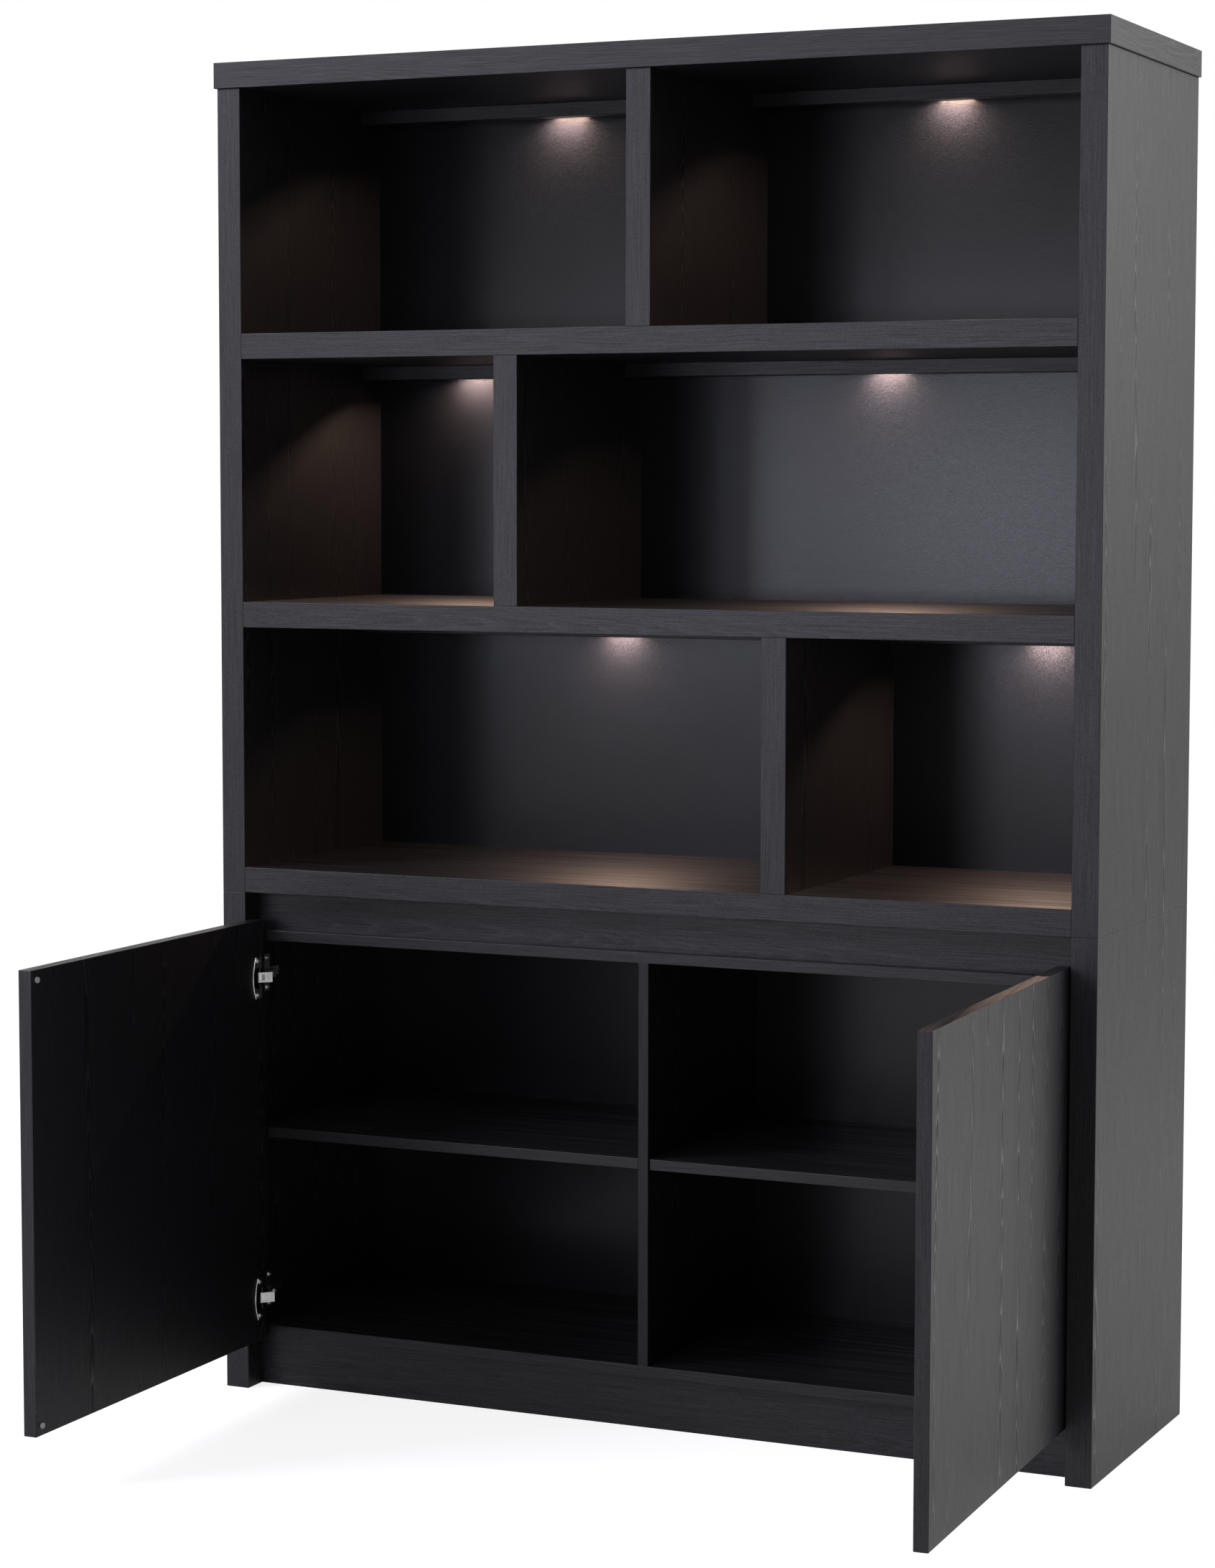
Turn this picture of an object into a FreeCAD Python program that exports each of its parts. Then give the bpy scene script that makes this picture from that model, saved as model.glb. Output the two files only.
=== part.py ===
# A wall unit in two parts: an open shelf case with six lit cells standing on a base cabinet with two doors.
# Millimetres, +Z up, +X to the right seen from the front, +Y towards the wall.
# The origin is on the floor, on the centre line, in the plane of the rear edges.
import FreeCAD, Part
import os
import re
import Sketcher

# Driving dimensions
DIMENSIONS = {
    # the whole unit
    "overall_width": 1380,
    "overall_height": 2000,
    "overall_depth": 450,
    "top_overhang": 4,
    "panel_thickness": 38,
    "base_height": 762,
    "edge_radius": 0.8,
    # back panels
    "back_thickness": 6,
    "back_rebate": 10,
    "back_play": 0.5,
    # light boards and lamps
    "light_board_height": 21,
    "light_board_depth": 28,
    "light_slot": 34,
    "lamp_radius": 13,
    "lamp_height": 12,
    "lamp_wall": 1.2,
    "lamp_flange": 2,
    "lamp_flange_height": 1.2,
    "lamp_stud_radius": 3,
    "lamp_stud_length": 8,
    "lens_thickness": 1.5,
    "lamp_play": 0.1,
    "lead_hole_radius": 4,
    "lead_hole_offset": 24,
    # base carcass
    "carcass_thickness": 16,
    "carcass_setback": 24,
    "rail_thickness": 18,
    "rail_setback": 43,
    "frieze_height": 59,
    "plinth_height": 80,
    "loose_shelf_rise": 289,
    "loose_shelf_play": 1,
    "loose_shelf_setback": 3,
    # shelf pins
    "pin_radius": 2.5,
    "pin_length": 16,
    "pin_bite": 7,
    "pin_edge": 50,
    "pin_pitch": 32,
    "pin_play": 0.05,
    # doors
    "door_thickness": 20,
    "door_setback": 1,
    "door_side_gap": 4,
    "door_centre_gap": 3,
    "door_foot": 77,
    "door_rise": 17,
    "door_edge_radius": 1,
    "left_open_angle": 89.3,
    "right_open_angle": 92.3,
    "axis_inset": 11.75,
    "axis_depth": 9.75,
    "bumper_radius": 4,
    "bumper_height": 2.7,
    "bumper_edge": 14,
    # cup hinges
    "hinge_top_drop": 87,
    "hinge_foot_rise": 65,
    "cup_radius": 17.5,
    "cup_edge": 20.5,
    "cup_depth": 11.5,
    "cup_wall": 1,
    "cup_floor": 1,
    "cup_play": 0.1,
    "wing_thickness": 1.2,
    "wing_height": 63,
    "wing_near": 10,
    "wing_far": 15.5,
    "wing_round": 64,
    "cup_screw_pitch": 52,
    "cup_screw_offset": 2,
    "link_inset": 32,
    "link_depth": 17,
    "link_throw": 11,
    "link_height": 9,
    "link_thickness": 2.4,
    "link_eye": 2.3,
    "fork_half_width": 2.65,
    "fork_wall": 0.8,
    "fork_mouth_play": 0.5,
    "fork_root_play": 0.2,
    "fork_lip": 0.5,
    "fork_tip": 0.8,
    "link_pin_radius": 1.25,
    "link_pin_play": 0.05,
    "arm_height": 13,
    "arm_wall": 1.3,
    "arm_rise": 17,
    "arm_foot": 9,
    "arm_tip": 2.5,
    "arm_bend": 37,
    "arm_end": 62,
    "plate_thickness": 2,
    "plate_width": 14,
    "plate_start": 44,
    "plate_end": 97,
    "plate_wing_height": 56,
    "plate_screw_pitch": 45,
    "plate_screw_depth": 62,
    "block_play": 0.3,
    "clamp_screw_depth": 52,
    # screws
    "screw_radius": 1.75,
    "screw_length": 16,
    "screw_head_radius": 3.4,
    "screw_head_height": 1.8,
    "screw_play": 0.1,
    "screw_recess": 0.9,
    "screw_slot": 0.9,
    "back_screw_length": 25,
    "back_screw_head_radius": 3.5,
    "back_screw_head_height": 3,
    "back_screw_edge": 45,
    # dowels
    "dowel_radius": 4,
    "dowel_length": 36,
    "dowel_bite": 11,
    "dowel_edge": 50,
    "dowel_play": 0.1,
    "dowel_end_play": 0.5,
    "locating_radius": 5,
    "locating_length": 50,
    "locating_edge": 70,
    # lamp driver
    "driver_length": 165,
    "driver_width": 48,
    "driver_height": 24,
    "driver_side_gap": 183,
    "driver_gap": 20,
    "driver_radius": 3,
    "socket_width": 8,
    "socket_height": 6,
    "socket_depth": 7,
    "socket_pitch": 14,
    "inlet_width": 16,
    "inlet_height": 10,
    "overrun": 1,
}

# Shares: the narrow cell's part of a row's clear width, and how a hinge arm's crank bends
NARROW_CELL_SHARE = 1.0 / 3.0
CRANK_OUTER_SHARES = (0.62, 0.45)
CRANK_INNER_SHARES = (0.42, 0.42)
# The lamps' places, as parts of the half width between the sides
CENTRE_LAMP_SHARE = 0.488
OUTER_LAMP_SHARE = 0.7315
INNER_LAMP_SHARE = 0.3364
# How far along its prongs a link's fork starts to close towards its mouth, and how its root is rounded
FORK_CLOSING_SHARE = 0.76
FORK_ROOT_SHARE = 0.6
SPARE_PIN_ROWS = (-1, 0, 1)
SOCKET_COUNT = 6

# Derived sizes, each worked out from the sheet above
DERIVED = {
    "side_depth": "overall_depth - top_overhang",
    "inner_half": "overall_width / 2 - top_overhang - panel_thickness",
    "half_board": "panel_thickness / 2",
    "row_clear": "(overall_height - base_height - 4 * panel_thickness) / 3",
    "floor_top": "base_height + panel_thickness",
    "middle_low": "floor_top + row_clear",
    "middle_top": "middle_low + panel_thickness",
    "upper_low": "middle_top + row_clear",
    "upper_top": "upper_low + panel_thickness",
    "top_low": "overall_height - panel_thickness",
    "narrow_cell": "(2 * inner_half - panel_thickness) * %r" % NARROW_CELL_SHARE,
    "row_2_low": "narrow_cell - inner_half",
    "row_2_high": "row_2_low + panel_thickness",
    "row_3_high": "inner_half - narrow_cell",
    "row_3_low": "row_3_high - panel_thickness",
    "panel_half": "inner_half + back_rebate - back_play",
    "light_board_back": "-(back_thickness + light_slot)",
    "light_board_front": "light_board_back - light_board_depth",
    "light_board_middle": "light_board_back - light_board_depth / 2",
    "lamp_depth": "-(back_thickness + light_slot / 2)",
    "centre_lamp": "inner_half * %r" % CENTRE_LAMP_SHARE,
    "outer_lamp": "inner_half * %r" % OUTER_LAMP_SHARE,
    "inner_lamp": "inner_half * %r" % INNER_LAMP_SHARE,
    "dowel_front": "dowel_edge - side_depth",
    "dowel_back": "-(back_thickness + dowel_edge)",
    "dowel_middle": "(dowel_front + dowel_back) / 2",
    "carcass_front": "carcass_setback - side_depth",
    "rail_front": "rail_setback - side_depth",
    "rail_back": "rail_front + rail_thickness",
    "carcass_top": "base_height - frieze_height",
    "carcass_ceiling": "carcass_top - carcass_thickness",
    "carcass_floor": "plinth_height + carcass_thickness",
    "half_carcass": "carcass_thickness / 2",
    "loose_shelf_low": "carcass_floor + loose_shelf_rise",
    "loose_shelf_front": "carcass_front + loose_shelf_setback",
    "loose_shelf_back": "-(back_thickness + loose_shelf_play)",
    "pin_level": "loose_shelf_low - pin_radius - pin_play",
    "pin_front": "loose_shelf_front + pin_edge",
    "pin_back": "loose_shelf_back - pin_edge",
    "door_top": "carcass_top + door_rise",
    "door_width": "inner_half - door_side_gap - door_centre_gap / 2",
    "door_inner": "door_setback + door_thickness",
    "hinge_high": "door_top - hinge_top_drop",
    "hinge_low": "door_foot + hinge_foot_rise",
    "cup_inset": "door_side_gap + cup_edge",
    "cup_floor_depth": "door_inner - cup_depth",
    "cup_bore": "cup_radius - cup_wall",
    "wing_face": "door_inner + wing_thickness",
    "link_across": "link_inset - axis_inset",
    "link_along": "link_depth - axis_depth",
    "link_reach": "sqrt(link_across * link_across + link_along * link_along)",
    "link_side": "link_throw * sin(45)",
    "link_length": "sqrt(link_side * link_side + (link_reach - link_side) * (link_reach - link_side))",
    "link_rest": "atan(link_along / link_across)",
    "link_half_turn": "atan(link_side / (link_reach - link_side))",
    "cup_pin_across": "axis_inset + link_throw * cos(link_rest + 45 deg)",
    "cup_pin_along": "axis_depth + link_throw * sin(link_rest + 45 deg)",
    "cup_pin_offset": "cup_inset - cup_pin_across",
    "cup_pin_half": "sqrt(cup_bore * cup_bore - cup_pin_offset * cup_pin_offset)",
    "fork_root": "link_reach - link_throw - link_pin_radius - fork_root_play",
    "fork_mouth": "link_pin_radius + fork_mouth_play",
    "fork_outside": "fork_half_width + fork_wall",
    "arm_outside": "link_inset + arm_tip",
    "arm_inside": "link_inset - arm_tip",
    "arm_nose": "link_depth - arm_tip",
    "arm_shoulder": "link_depth + arm_tip",
    "block_top": "arm_rise - arm_wall",
    "driver_end": "inner_half - driver_side_gap",
    "driver_start": "driver_end - driver_length",
    "driver_front": "rail_back + driver_gap",
}

doc = FreeCAD.newDocument("wall_unit")
dims = doc.addObject("Spreadsheet::Sheet", "dims")
for row, (word, number) in enumerate(DIMENSIONS.items(), 1):
    dims.set("A%d" % row, word)
    dims.set("B%d" % row, str(number))
    dims.setAlias("B%d" % row, word)


def spell(text):
    """Write an expression on plain names as one on the two sheets' cells."""

    def cell(match):
        word = match.group(0)
        if word in DIMENSIONS:
            return "dims." + word
        if word in DERIVED:
            return "places." + word
        return word

    return re.sub(r"[a-z][a-z_0-9]*", cell, text)


places = doc.addObject("Spreadsheet::Sheet", "places")
for row, (word, formula) in enumerate(DERIVED.items(), 1):
    places.set("A%d" % row, word)
    places.setAlias("B%d" % row, word)
for row, formula in enumerate(DERIVED.values(), 1):
    places.set("B%d" % row, "=" + spell(formula))
doc.recompute()


# Helpers: every size and place is an expression on the sheets
TURNS = {
    "X": FreeCAD.Rotation(FreeCAD.Vector(0, 1, 0), 90),
    "Y": FreeCAD.Rotation(FreeCAD.Vector(1, 0, 0), -90),
    "Z": FreeCAD.Rotation(),
}


def bind(thing, prop, text):
    thing.setExpression(prop, spell(text))


def place(thing, x, y, z):
    bind(thing, "Placement.Base.x", x)
    bind(thing, "Placement.Base.y", y)
    bind(thing, "Placement.Base.z", z)


def box(name, x, y, z):
    """A block between a low and a high expression along each axis."""
    block = doc.addObject("Part::Box", name)
    for prop, (low, high) in zip(("Length", "Width", "Height"), (x, y, z)):
        bind(block, prop, "(%s) - (%s)" % (high, low))
    place(block, x[0], y[0], z[0])
    return block


def rod(name, axis, start, radius, length):
    """A round bar from its start point along +X, +Y or +Z."""
    bar = doc.addObject("Part::Cylinder", name)
    bar.Placement.Rotation = TURNS[axis]
    bind(bar, "Radius", radius)
    bind(bar, "Height", length)
    place(bar, *start)
    return bar


def taper(name, axis, start, first_radius, last_radius, length):
    """A cone from its start point along +X, +Y or +Z."""
    cone = doc.addObject("Part::Cone", name)
    cone.Placement.Rotation = TURNS[axis]
    bind(cone, "Radius1", first_radius)
    bind(cone, "Radius2", last_radius)
    bind(cone, "Height", length)
    place(cone, *start)
    return cone


def fuse(name, things):
    joined = doc.addObject("Part::MultiFuse", name)
    joined.Shapes = things
    return joined


def bunch(name, things):
    """Separate solids kept together as one sub-part."""
    group = doc.addObject("Part::Compound", name)
    group.Links = things
    return group


def carve(name, base, tools):
    cut = doc.addObject("Part::Cut", name)
    cut.Base = base
    cut.Tool = tools[0] if len(tools) == 1 else bunch(name + "_tools", tools)
    return cut


def front_edges(edge, bounds):
    """The four edges round a board's front face."""
    return edge.CenterOfMass.y < bounds.YMin + bounds.YLength / 100


def open_edges(edge, bounds):
    """All the edges that don't lie in a board's rear face."""
    return edge.CenterOfMass.y < bounds.YMax - bounds.YLength / 100


def eased(name, base, wanted, radius):
    """Round the wanted edges of a block, as edge banding is."""
    doc.recompute()
    bounds = base.Shape.BoundBox
    rounded = doc.addObject("Part::Fillet", name)
    rounded.Base = base
    rounded.Edges = [
        (number, radius, radius)
        for number, edge in enumerate(base.Shape.Edges, 1)
        if wanted(edge, bounds)
    ]
    return rounded


def every_edge(edge, bounds):
    return True


def across(hand, inset):
    """The X of a point that lies inset from the inner face of the left (-1) or right (+1) side."""
    return "inner_half - (%s)" % inset if hand > 0 else "(%s) - inner_half" % inset


def span(hand, near, far):
    """A low and high X from two insets off a side's inner face."""
    ends = (across(hand, near), across(hand, far))
    return ends if hand < 0 else ends[::-1]


def deep(depth):
    """The Y of a point that lies depth behind the front edges of the sides."""
    return "(%s) - side_depth" % depth


HANDS = (("left", -1), ("right", 1))
LEVELS = (("upper", "hinge_high"), ("lower", "hinge_low"))
parts = {}
holes = {}


def finish(node, blank):
    """Carve a board's gathered holes and keep it as a sub-part."""
    made = carve(node, blank, holes[node]) if holes.get(node) else blank
    made.Label = node
    parts[node] = made
    return made


def keep(node, made):
    made.Label = node
    parts[node] = made
    return made


# Dowels: each sits a short way in the face of one board and a long way in the end of the other
dowels = []


def dowel(axis, x, y, z, end_is_higher, boards):
    """A glued dowel across the joint plane at x, y, z; its hole is cut in both boards."""
    back_off = "dowel_bite" if end_is_higher else "(dowel_length - dowel_bite)"
    peg = [x, y, z]
    hole = [x, y, z]
    along = "XYZ".index(axis)
    peg[along] = "(%s) - %s" % (peg[along], back_off)
    hole[along] = "(%s) - %s - dowel_end_play" % (hole[along], back_off)
    number = len(dowels)
    dowels.append(rod("dowel_%d" % number, axis, peg, "dowel_radius", "dowel_length"))
    drilled = rod(
        "dowel_hole_%d" % number,
        axis,
        hole,
        "dowel_radius + dowel_play",
        "dowel_length + 2 * dowel_end_play",
    )
    for board in boards:
        holes.setdefault(board, []).append(drilled)


DOWEL_DEPTHS = ("dowel_front", "dowel_middle", "dowel_back")


def join_to_sides(board, unit, heights, depths):
    """Dowel both ends of a crosswise board into the two sides."""
    for side, hand in HANDS:
        for height in heights:
            for depth in depths:
                dowel("X", across(hand, "0"), depth, height, hand < 0, (unit + "_side_" + side, board))


def join_upright(upright, centre, below, floor, above, ceiling):
    """Dowel an upright between the board below and the board above."""
    for depth in DOWEL_DEPTHS:
        dowel("Z", centre, depth, floor, True, (below, upright))
        dowel("Z", centre, depth, ceiling, False, (above, upright))


SHELVES = {
    "floor_board": ("base_height", "floor_top"),
    "middle_shelf": ("middle_low", "middle_top"),
    "upper_shelf": ("upper_low", "upper_top"),
}
DIVIDERS = {
    "row_1_divider": ("-half_board", "half_board", "upper_shelf", "upper_top", "top_board", "top_low"),
    "row_2_divider": ("row_2_low", "row_2_high", "middle_shelf", "middle_top", "upper_shelf", "upper_low"),
    "row_3_divider": ("row_3_low", "row_3_high", "floor_board", "floor_top", "middle_shelf", "middle_low"),
}
# Cells: left end, right end, ceiling, the board above, and the lamp's place across
CELLS = {
    "row_1_left": ("-inner_half", "-half_board", "top_low", "top_board", "-centre_lamp"),
    "row_1_right": ("half_board", "inner_half", "top_low", "top_board", "centre_lamp"),
    "row_2_left": ("-inner_half", "row_2_low", "upper_low", "upper_shelf", "-outer_lamp"),
    "row_2_right": ("row_2_high", "inner_half", "upper_low", "upper_shelf", "inner_lamp"),
    "row_3_left": ("-inner_half", "row_3_low", "middle_low", "middle_shelf", "-inner_lamp"),
    "row_3_right": ("row_3_high", "inner_half", "middle_low", "middle_shelf", "outer_lamp"),
}
RAILS = {
    "frieze_rail": ("rail_front", "rail_back", "carcass_top", "base_height"),
    "rear_rail": (
        "-(back_thickness + rail_thickness)",
        "-back_thickness",
        "carcass_top",
        "base_height",
    ),
    "plinth_front": ("rail_front", "rail_back", "0", "plinth_height"),
    "plinth_rear": ("-rail_thickness", "0", "0", "plinth_height"),
}

for board, (low, high) in SHELVES.items():
    join_to_sides(board, "upper", ("(%s + %s) / 2" % (low, high),), DOWEL_DEPTHS)
for upright, (low, high, below, floor, above, ceiling) in DIVIDERS.items():
    join_upright(upright, "(%s + %s) / 2" % (low, high), below, floor, above, ceiling)
for side, hand in HANDS:
    for depth in DOWEL_DEPTHS:
        middle = across(hand, "-half_board")
        dowel("Z", middle, depth, "top_low", False, ("upper_side_" + side, "top_board"))
for cell, (low, high, ceiling, above, lamp) in CELLS.items():
    for quarter in ("3 * (%s) + (%s)", "(%s) + 3 * (%s)"):
        middle = "(" + quarter % (low, high) + ") / 4"
        dowel("Z", middle, "light_board_middle", ceiling, True, ("light_board_" + cell, above))
    stud_hole = rod(
        "lamp_hole_" + cell,
        "Z",
        (lamp, "lamp_depth", ceiling + " - overrun"),
        "lamp_stud_radius + lamp_play",
        "lamp_stud_length + lamp_play + overrun",
    )
    holes[above].append(stud_hole)
    lead_hole = rod(
        "lead_hole_" + cell,
        "Y",
        (lamp + " + lead_hole_offset", "-(back_thickness + overrun)", ceiling + " - light_board_height / 2"),
        "lead_hole_radius",
        "back_thickness + 2 * overrun",
    )
    holes.setdefault("upper_back_panel", []).append(lead_hole)
for board, low in (("carcass_top_board", "carcass_ceiling"), ("carcass_floor_board", "plinth_height")):
    join_to_sides(board, "base", (low + " + half_carcass",), DOWEL_DEPTHS)
join_upright(
    "partition", "0", "carcass_floor_board", "carcass_floor", "carcass_top_board", "carcass_ceiling"
)
for rail, (front, back, low, high) in RAILS.items():
    heights = ["(3 * (%s) + (%s)) / 4" % ends for ends in ((low, high), (high, low))]
    join_to_sides(rail, "base", heights, ("((%s) + (%s)) / 2" % (front, back),))

# Steel locating pins that stop the upper case sliding on the base
locating_pins = []
for side, hand in HANDS:
    for depth in ("locating_edge - side_depth", "-locating_edge"):
        middle = across(hand, "-half_board")
        low = "base_height - locating_length / 2"
        name = "locating_%s_%d" % (side, len(locating_pins))
        locating_pins.append(
            rod(name, "Z", (middle, depth, low), "locating_radius", "locating_length")
        )
        drilled = rod(
            name + "_hole",
            "Z",
            (middle, depth, low + " - dowel_end_play"),
            "locating_radius + dowel_play",
            "locating_length + 2 * dowel_end_play",
        )
        holes.setdefault("upper_side_" + side, []).append(drilled)
        holes.setdefault("base_side_" + side, []).append(drilled)

# Shelf pins, with a spare hole above and below each one
shelf_pins = []
PIN_WALLS = []
for side, hand in HANDS:
    PIN_WALLS.append(("base_side_" + side, across(hand, "0"), hand < 0))
    PIN_WALLS.append(("partition", "half_carcass" if hand > 0 else "-half_carcass", hand > 0))
for wall, face, opens_right in PIN_WALLS:
    low = "(%s) - %s" % (face, "pin_bite" if opens_right else "(pin_length - pin_bite)")
    bored = "(%s) - %s" % (face, "pin_bite - pin_play" if opens_right else "overrun")
    for depth in ("pin_front", "pin_back"):
        name = "pin_%d" % len(shelf_pins)
        shelf_pins.append(rod(name, "X", (low, depth, "pin_level"), "pin_radius", "pin_length"))
        for spare in SPARE_PIN_ROWS:
            level = "pin_level + %d * pin_pitch" % spare
            drilled = rod(
                "%s_hole_%d" % (name, spare + 1),
                "X",
                (bored, depth, level),
                "pin_radius + pin_play",
                "pin_bite + pin_play + overrun",
            )
            holes.setdefault(wall, []).append(drilled)

# Back panel screws: countersunk, from behind, into the sides and the crosswise boards
back_screws = []


def back_screw(x, z, boards):
    number = len(back_screws)
    head = taper(
        "back_head_%d" % number,
        "Y",
        (x, "-back_screw_head_height", z),
        "screw_radius",
        "back_screw_head_radius",
        "back_screw_head_height",
    )
    shank = rod(
        "back_shank_%d" % number, "Y", (x, "-back_screw_length", z), "screw_radius", "back_screw_length"
    )
    back_screws.append(fuse("back_screw_%d" % number, [head, shank]))
    sink = taper(
        "back_sink_%d" % number,
        "Y",
        (x, "-back_screw_head_height", z),
        "screw_radius + screw_play",
        "back_screw_head_radius + screw_play",
        "back_screw_head_height",
    )
    bore = rod(
        "back_bore_%d" % number,
        "Y",
        (x, "-back_screw_length - screw_play", z),
        "screw_radius + screw_play",
        "back_screw_length + 2 * screw_play",
    )
    for board in boards:
        holes.setdefault(board, []).append(fuse("back_hole_%d_%s" % (number, board), [sink, bore]))


for board, (low, high) in SHELVES.items():
    level = "(%s + %s) / 2" % (low, high)
    for x in ("back_screw_edge - inner_half", "inner_half - back_screw_edge"):
        back_screw(x, level, ("upper_back_panel", board))
for upright, (low, high, below, floor, above, ceiling) in DIVIDERS.items():
    level = "(%s + %s) / 2" % (floor, ceiling)
    back_screw("(%s + %s) / 2" % (low, high), level, ("upper_back_panel", upright))
back_screw("0", "(carcass_floor + carcass_ceiling) / 2", ("base_back_panel", "partition"))
for board, low in (("carcass_top_board", "carcass_ceiling"), ("carcass_floor_board", "plinth_height")):
    for x in ("back_screw_edge - inner_half", "inner_half - back_screw_edge"):
        back_screw(x, low + " + half_carcass", ("base_back_panel", board))

# Upper case: sides, top, crosswise boards and dividers
radius = dims.edge_radius
REBATE_DEPTH = ("-back_thickness", "overrun")
for side, hand in HANDS:
    for unit, low, high in (("upper", "base_height", "top_low"), ("base", "0", "base_height")):
        node = "%s_side_%s" % (unit, side)
        blank = box(node + "_blank", span(hand, "-panel_thickness", "0"), ("-side_depth", "0"), (low, high))
        blank = eased(node + "_eased", blank, open_edges, radius)
        rebate_low = low + " - overrun" if unit == "upper" else "plinth_height"
        rebate = box(
            node + "_rebate",
            span(hand, "-back_rebate", "overrun"),
            REBATE_DEPTH,
            (rebate_low, high + " + overrun"),
        )
        holes.setdefault(node, []).append(rebate)

top_blank = box(
    "top_blank",
    ("-overall_width / 2", "overall_width / 2"),
    ("-overall_depth", "0"),
    ("top_low", "overall_height"),
)
top_blank = eased("top_eased", top_blank, open_edges, radius)
top_rebate = box(
    "top_rebate",
    ("-(inner_half + back_rebate)", "inner_half + back_rebate"),
    REBATE_DEPTH,
    ("top_low - overrun", "top_low + back_rebate"),
)
holes["top_board"].append(top_rebate)
finish("top_board", top_blank)

for board, (low, high) in SHELVES.items():
    depths = ("-side_depth", "-back_thickness")
    blank = box(board + "_blank", ("-inner_half", "inner_half"), depths, (low, high))
    finish(board, eased(board + "_eased", blank, front_edges, radius))

for upright, (low, high, below, floor, above, ceiling) in DIVIDERS.items():
    blank = box(upright + "_blank", (low, high), ("-side_depth", "-back_thickness"), (floor, ceiling))
    finish(upright, eased(upright + "_eased", blank, front_edges, radius))

PANELS = {
    "upper_back_panel": ("base_height", "top_low + back_rebate - back_play"),
    "base_back_panel": ("plinth_height", "base_height"),
}
for panel, (low, high) in PANELS.items():
    blank = box(panel + "_blank", ("-panel_half", "panel_half"), ("-back_thickness", "0"), (low, high))
    finish(panel, blank)


# Lamps: a can on a stud under each ceiling, behind the light board, with a lens in its mouth
def lamp_can(name, x, ceiling):
    low = ceiling + " - lamp_height"
    can = rod(name + "_can", "Z", (x, "lamp_depth", low), "lamp_radius", "lamp_height")
    flange = rod(
        name + "_flange",
        "Z",
        (x, "lamp_depth", ceiling + " - lamp_flange_height"),
        "lamp_radius + lamp_flange",
        "lamp_flange_height",
    )
    stud = rod(
        name + "_stud",
        "Z",
        (x, "lamp_depth", ceiling + " - lamp_flange_height"),
        "lamp_stud_radius",
        "lamp_stud_length + lamp_flange_height",
    )
    bore = rod(
        name + "_bore",
        "Z",
        (x, "lamp_depth", low + " - overrun"),
        "lamp_radius - lamp_wall",
        "lamp_height + overrun - lamp_flange_height - lamp_wall",
    )
    return carve(name, fuse(name + "_body", [can, flange, stud]), [bore])


for cell, (low, high, ceiling, above, lamp) in CELLS.items():
    board = "light_board_" + cell
    blank = box(
        board + "_blank",
        (low, high),
        ("light_board_front", "light_board_back"),
        (ceiling + " - light_board_height", ceiling),
    )
    finish(board, eased(board + "_eased", blank, front_edges, radius))
    keep("lamp_can_" + cell, lamp_can("lamp_can_" + cell, lamp, ceiling))
    lens = rod(
        "lamp_lens_" + cell,
        "Z",
        (lamp, "lamp_depth", ceiling + " - lamp_height"),
        "lamp_radius - lamp_wall - lamp_play",
        "lens_thickness",
    )
    keep("lamp_lens_" + cell, lens)

# Base cabinet: rails, carcass boards, partition and loose shelves
for rail, (front, back, low, high) in RAILS.items():
    blank = box(rail + "_blank", ("-inner_half", "inner_half"), (front, back), (low, high))
    finish(rail, blank)

CARCASS = {
    "carcass_top_board": ("-inner_half", "inner_half", "carcass_ceiling", "carcass_top"),
    "carcass_floor_board": ("-inner_half", "inner_half", "plinth_height", "carcass_floor"),
    "partition": ("-half_carcass", "half_carcass", "carcass_floor", "carcass_ceiling"),
}
for board, (left, right, low, high) in CARCASS.items():
    blank = box(board + "_blank", (left, right), ("carcass_front", "-back_thickness"), (low, high))
    finish(board, eased(board + "_eased", blank, front_edges, radius))

for side, hand in HANDS:
    inner_end = "loose_shelf_play - inner_half" if hand < 0 else "half_carcass + loose_shelf_play"
    outer_end = "-(half_carcass + loose_shelf_play)" if hand < 0 else "inner_half - loose_shelf_play"
    blank = box(
        "loose_shelf_%s_blank" % side,
        (inner_end, outer_end),
        ("loose_shelf_front", "loose_shelf_back"),
        ("loose_shelf_low", "loose_shelf_low + carcass_thickness"),
    )
    finish("loose_shelf_" + side, eased("loose_shelf_%s_eased" % side, blank, front_edges, radius))


# Door leaves and what they carry are drawn in a frame on the swing axis, with the door shut
def leaf_x(hand, inset):
    return "axis_inset - (%s)" % inset if hand > 0 else "(%s) - axis_inset" % inset


def leaf_span(hand, near, far):
    ends = (leaf_x(hand, near), leaf_x(hand, far))
    return ends if hand < 0 else ends[::-1]


def leaf_y(depth):
    return "(%s) - axis_depth" % depth


def hang(thing, side, hand):
    """Stand a door's piece on its swing axis, opened by that door's angle."""
    place(thing, across(hand, "axis_inset"), deep("axis_depth"), "0")
    bind(thing, "Placement.Rotation.Angle", "%d * %s_open_angle" % (hand, side))


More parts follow.
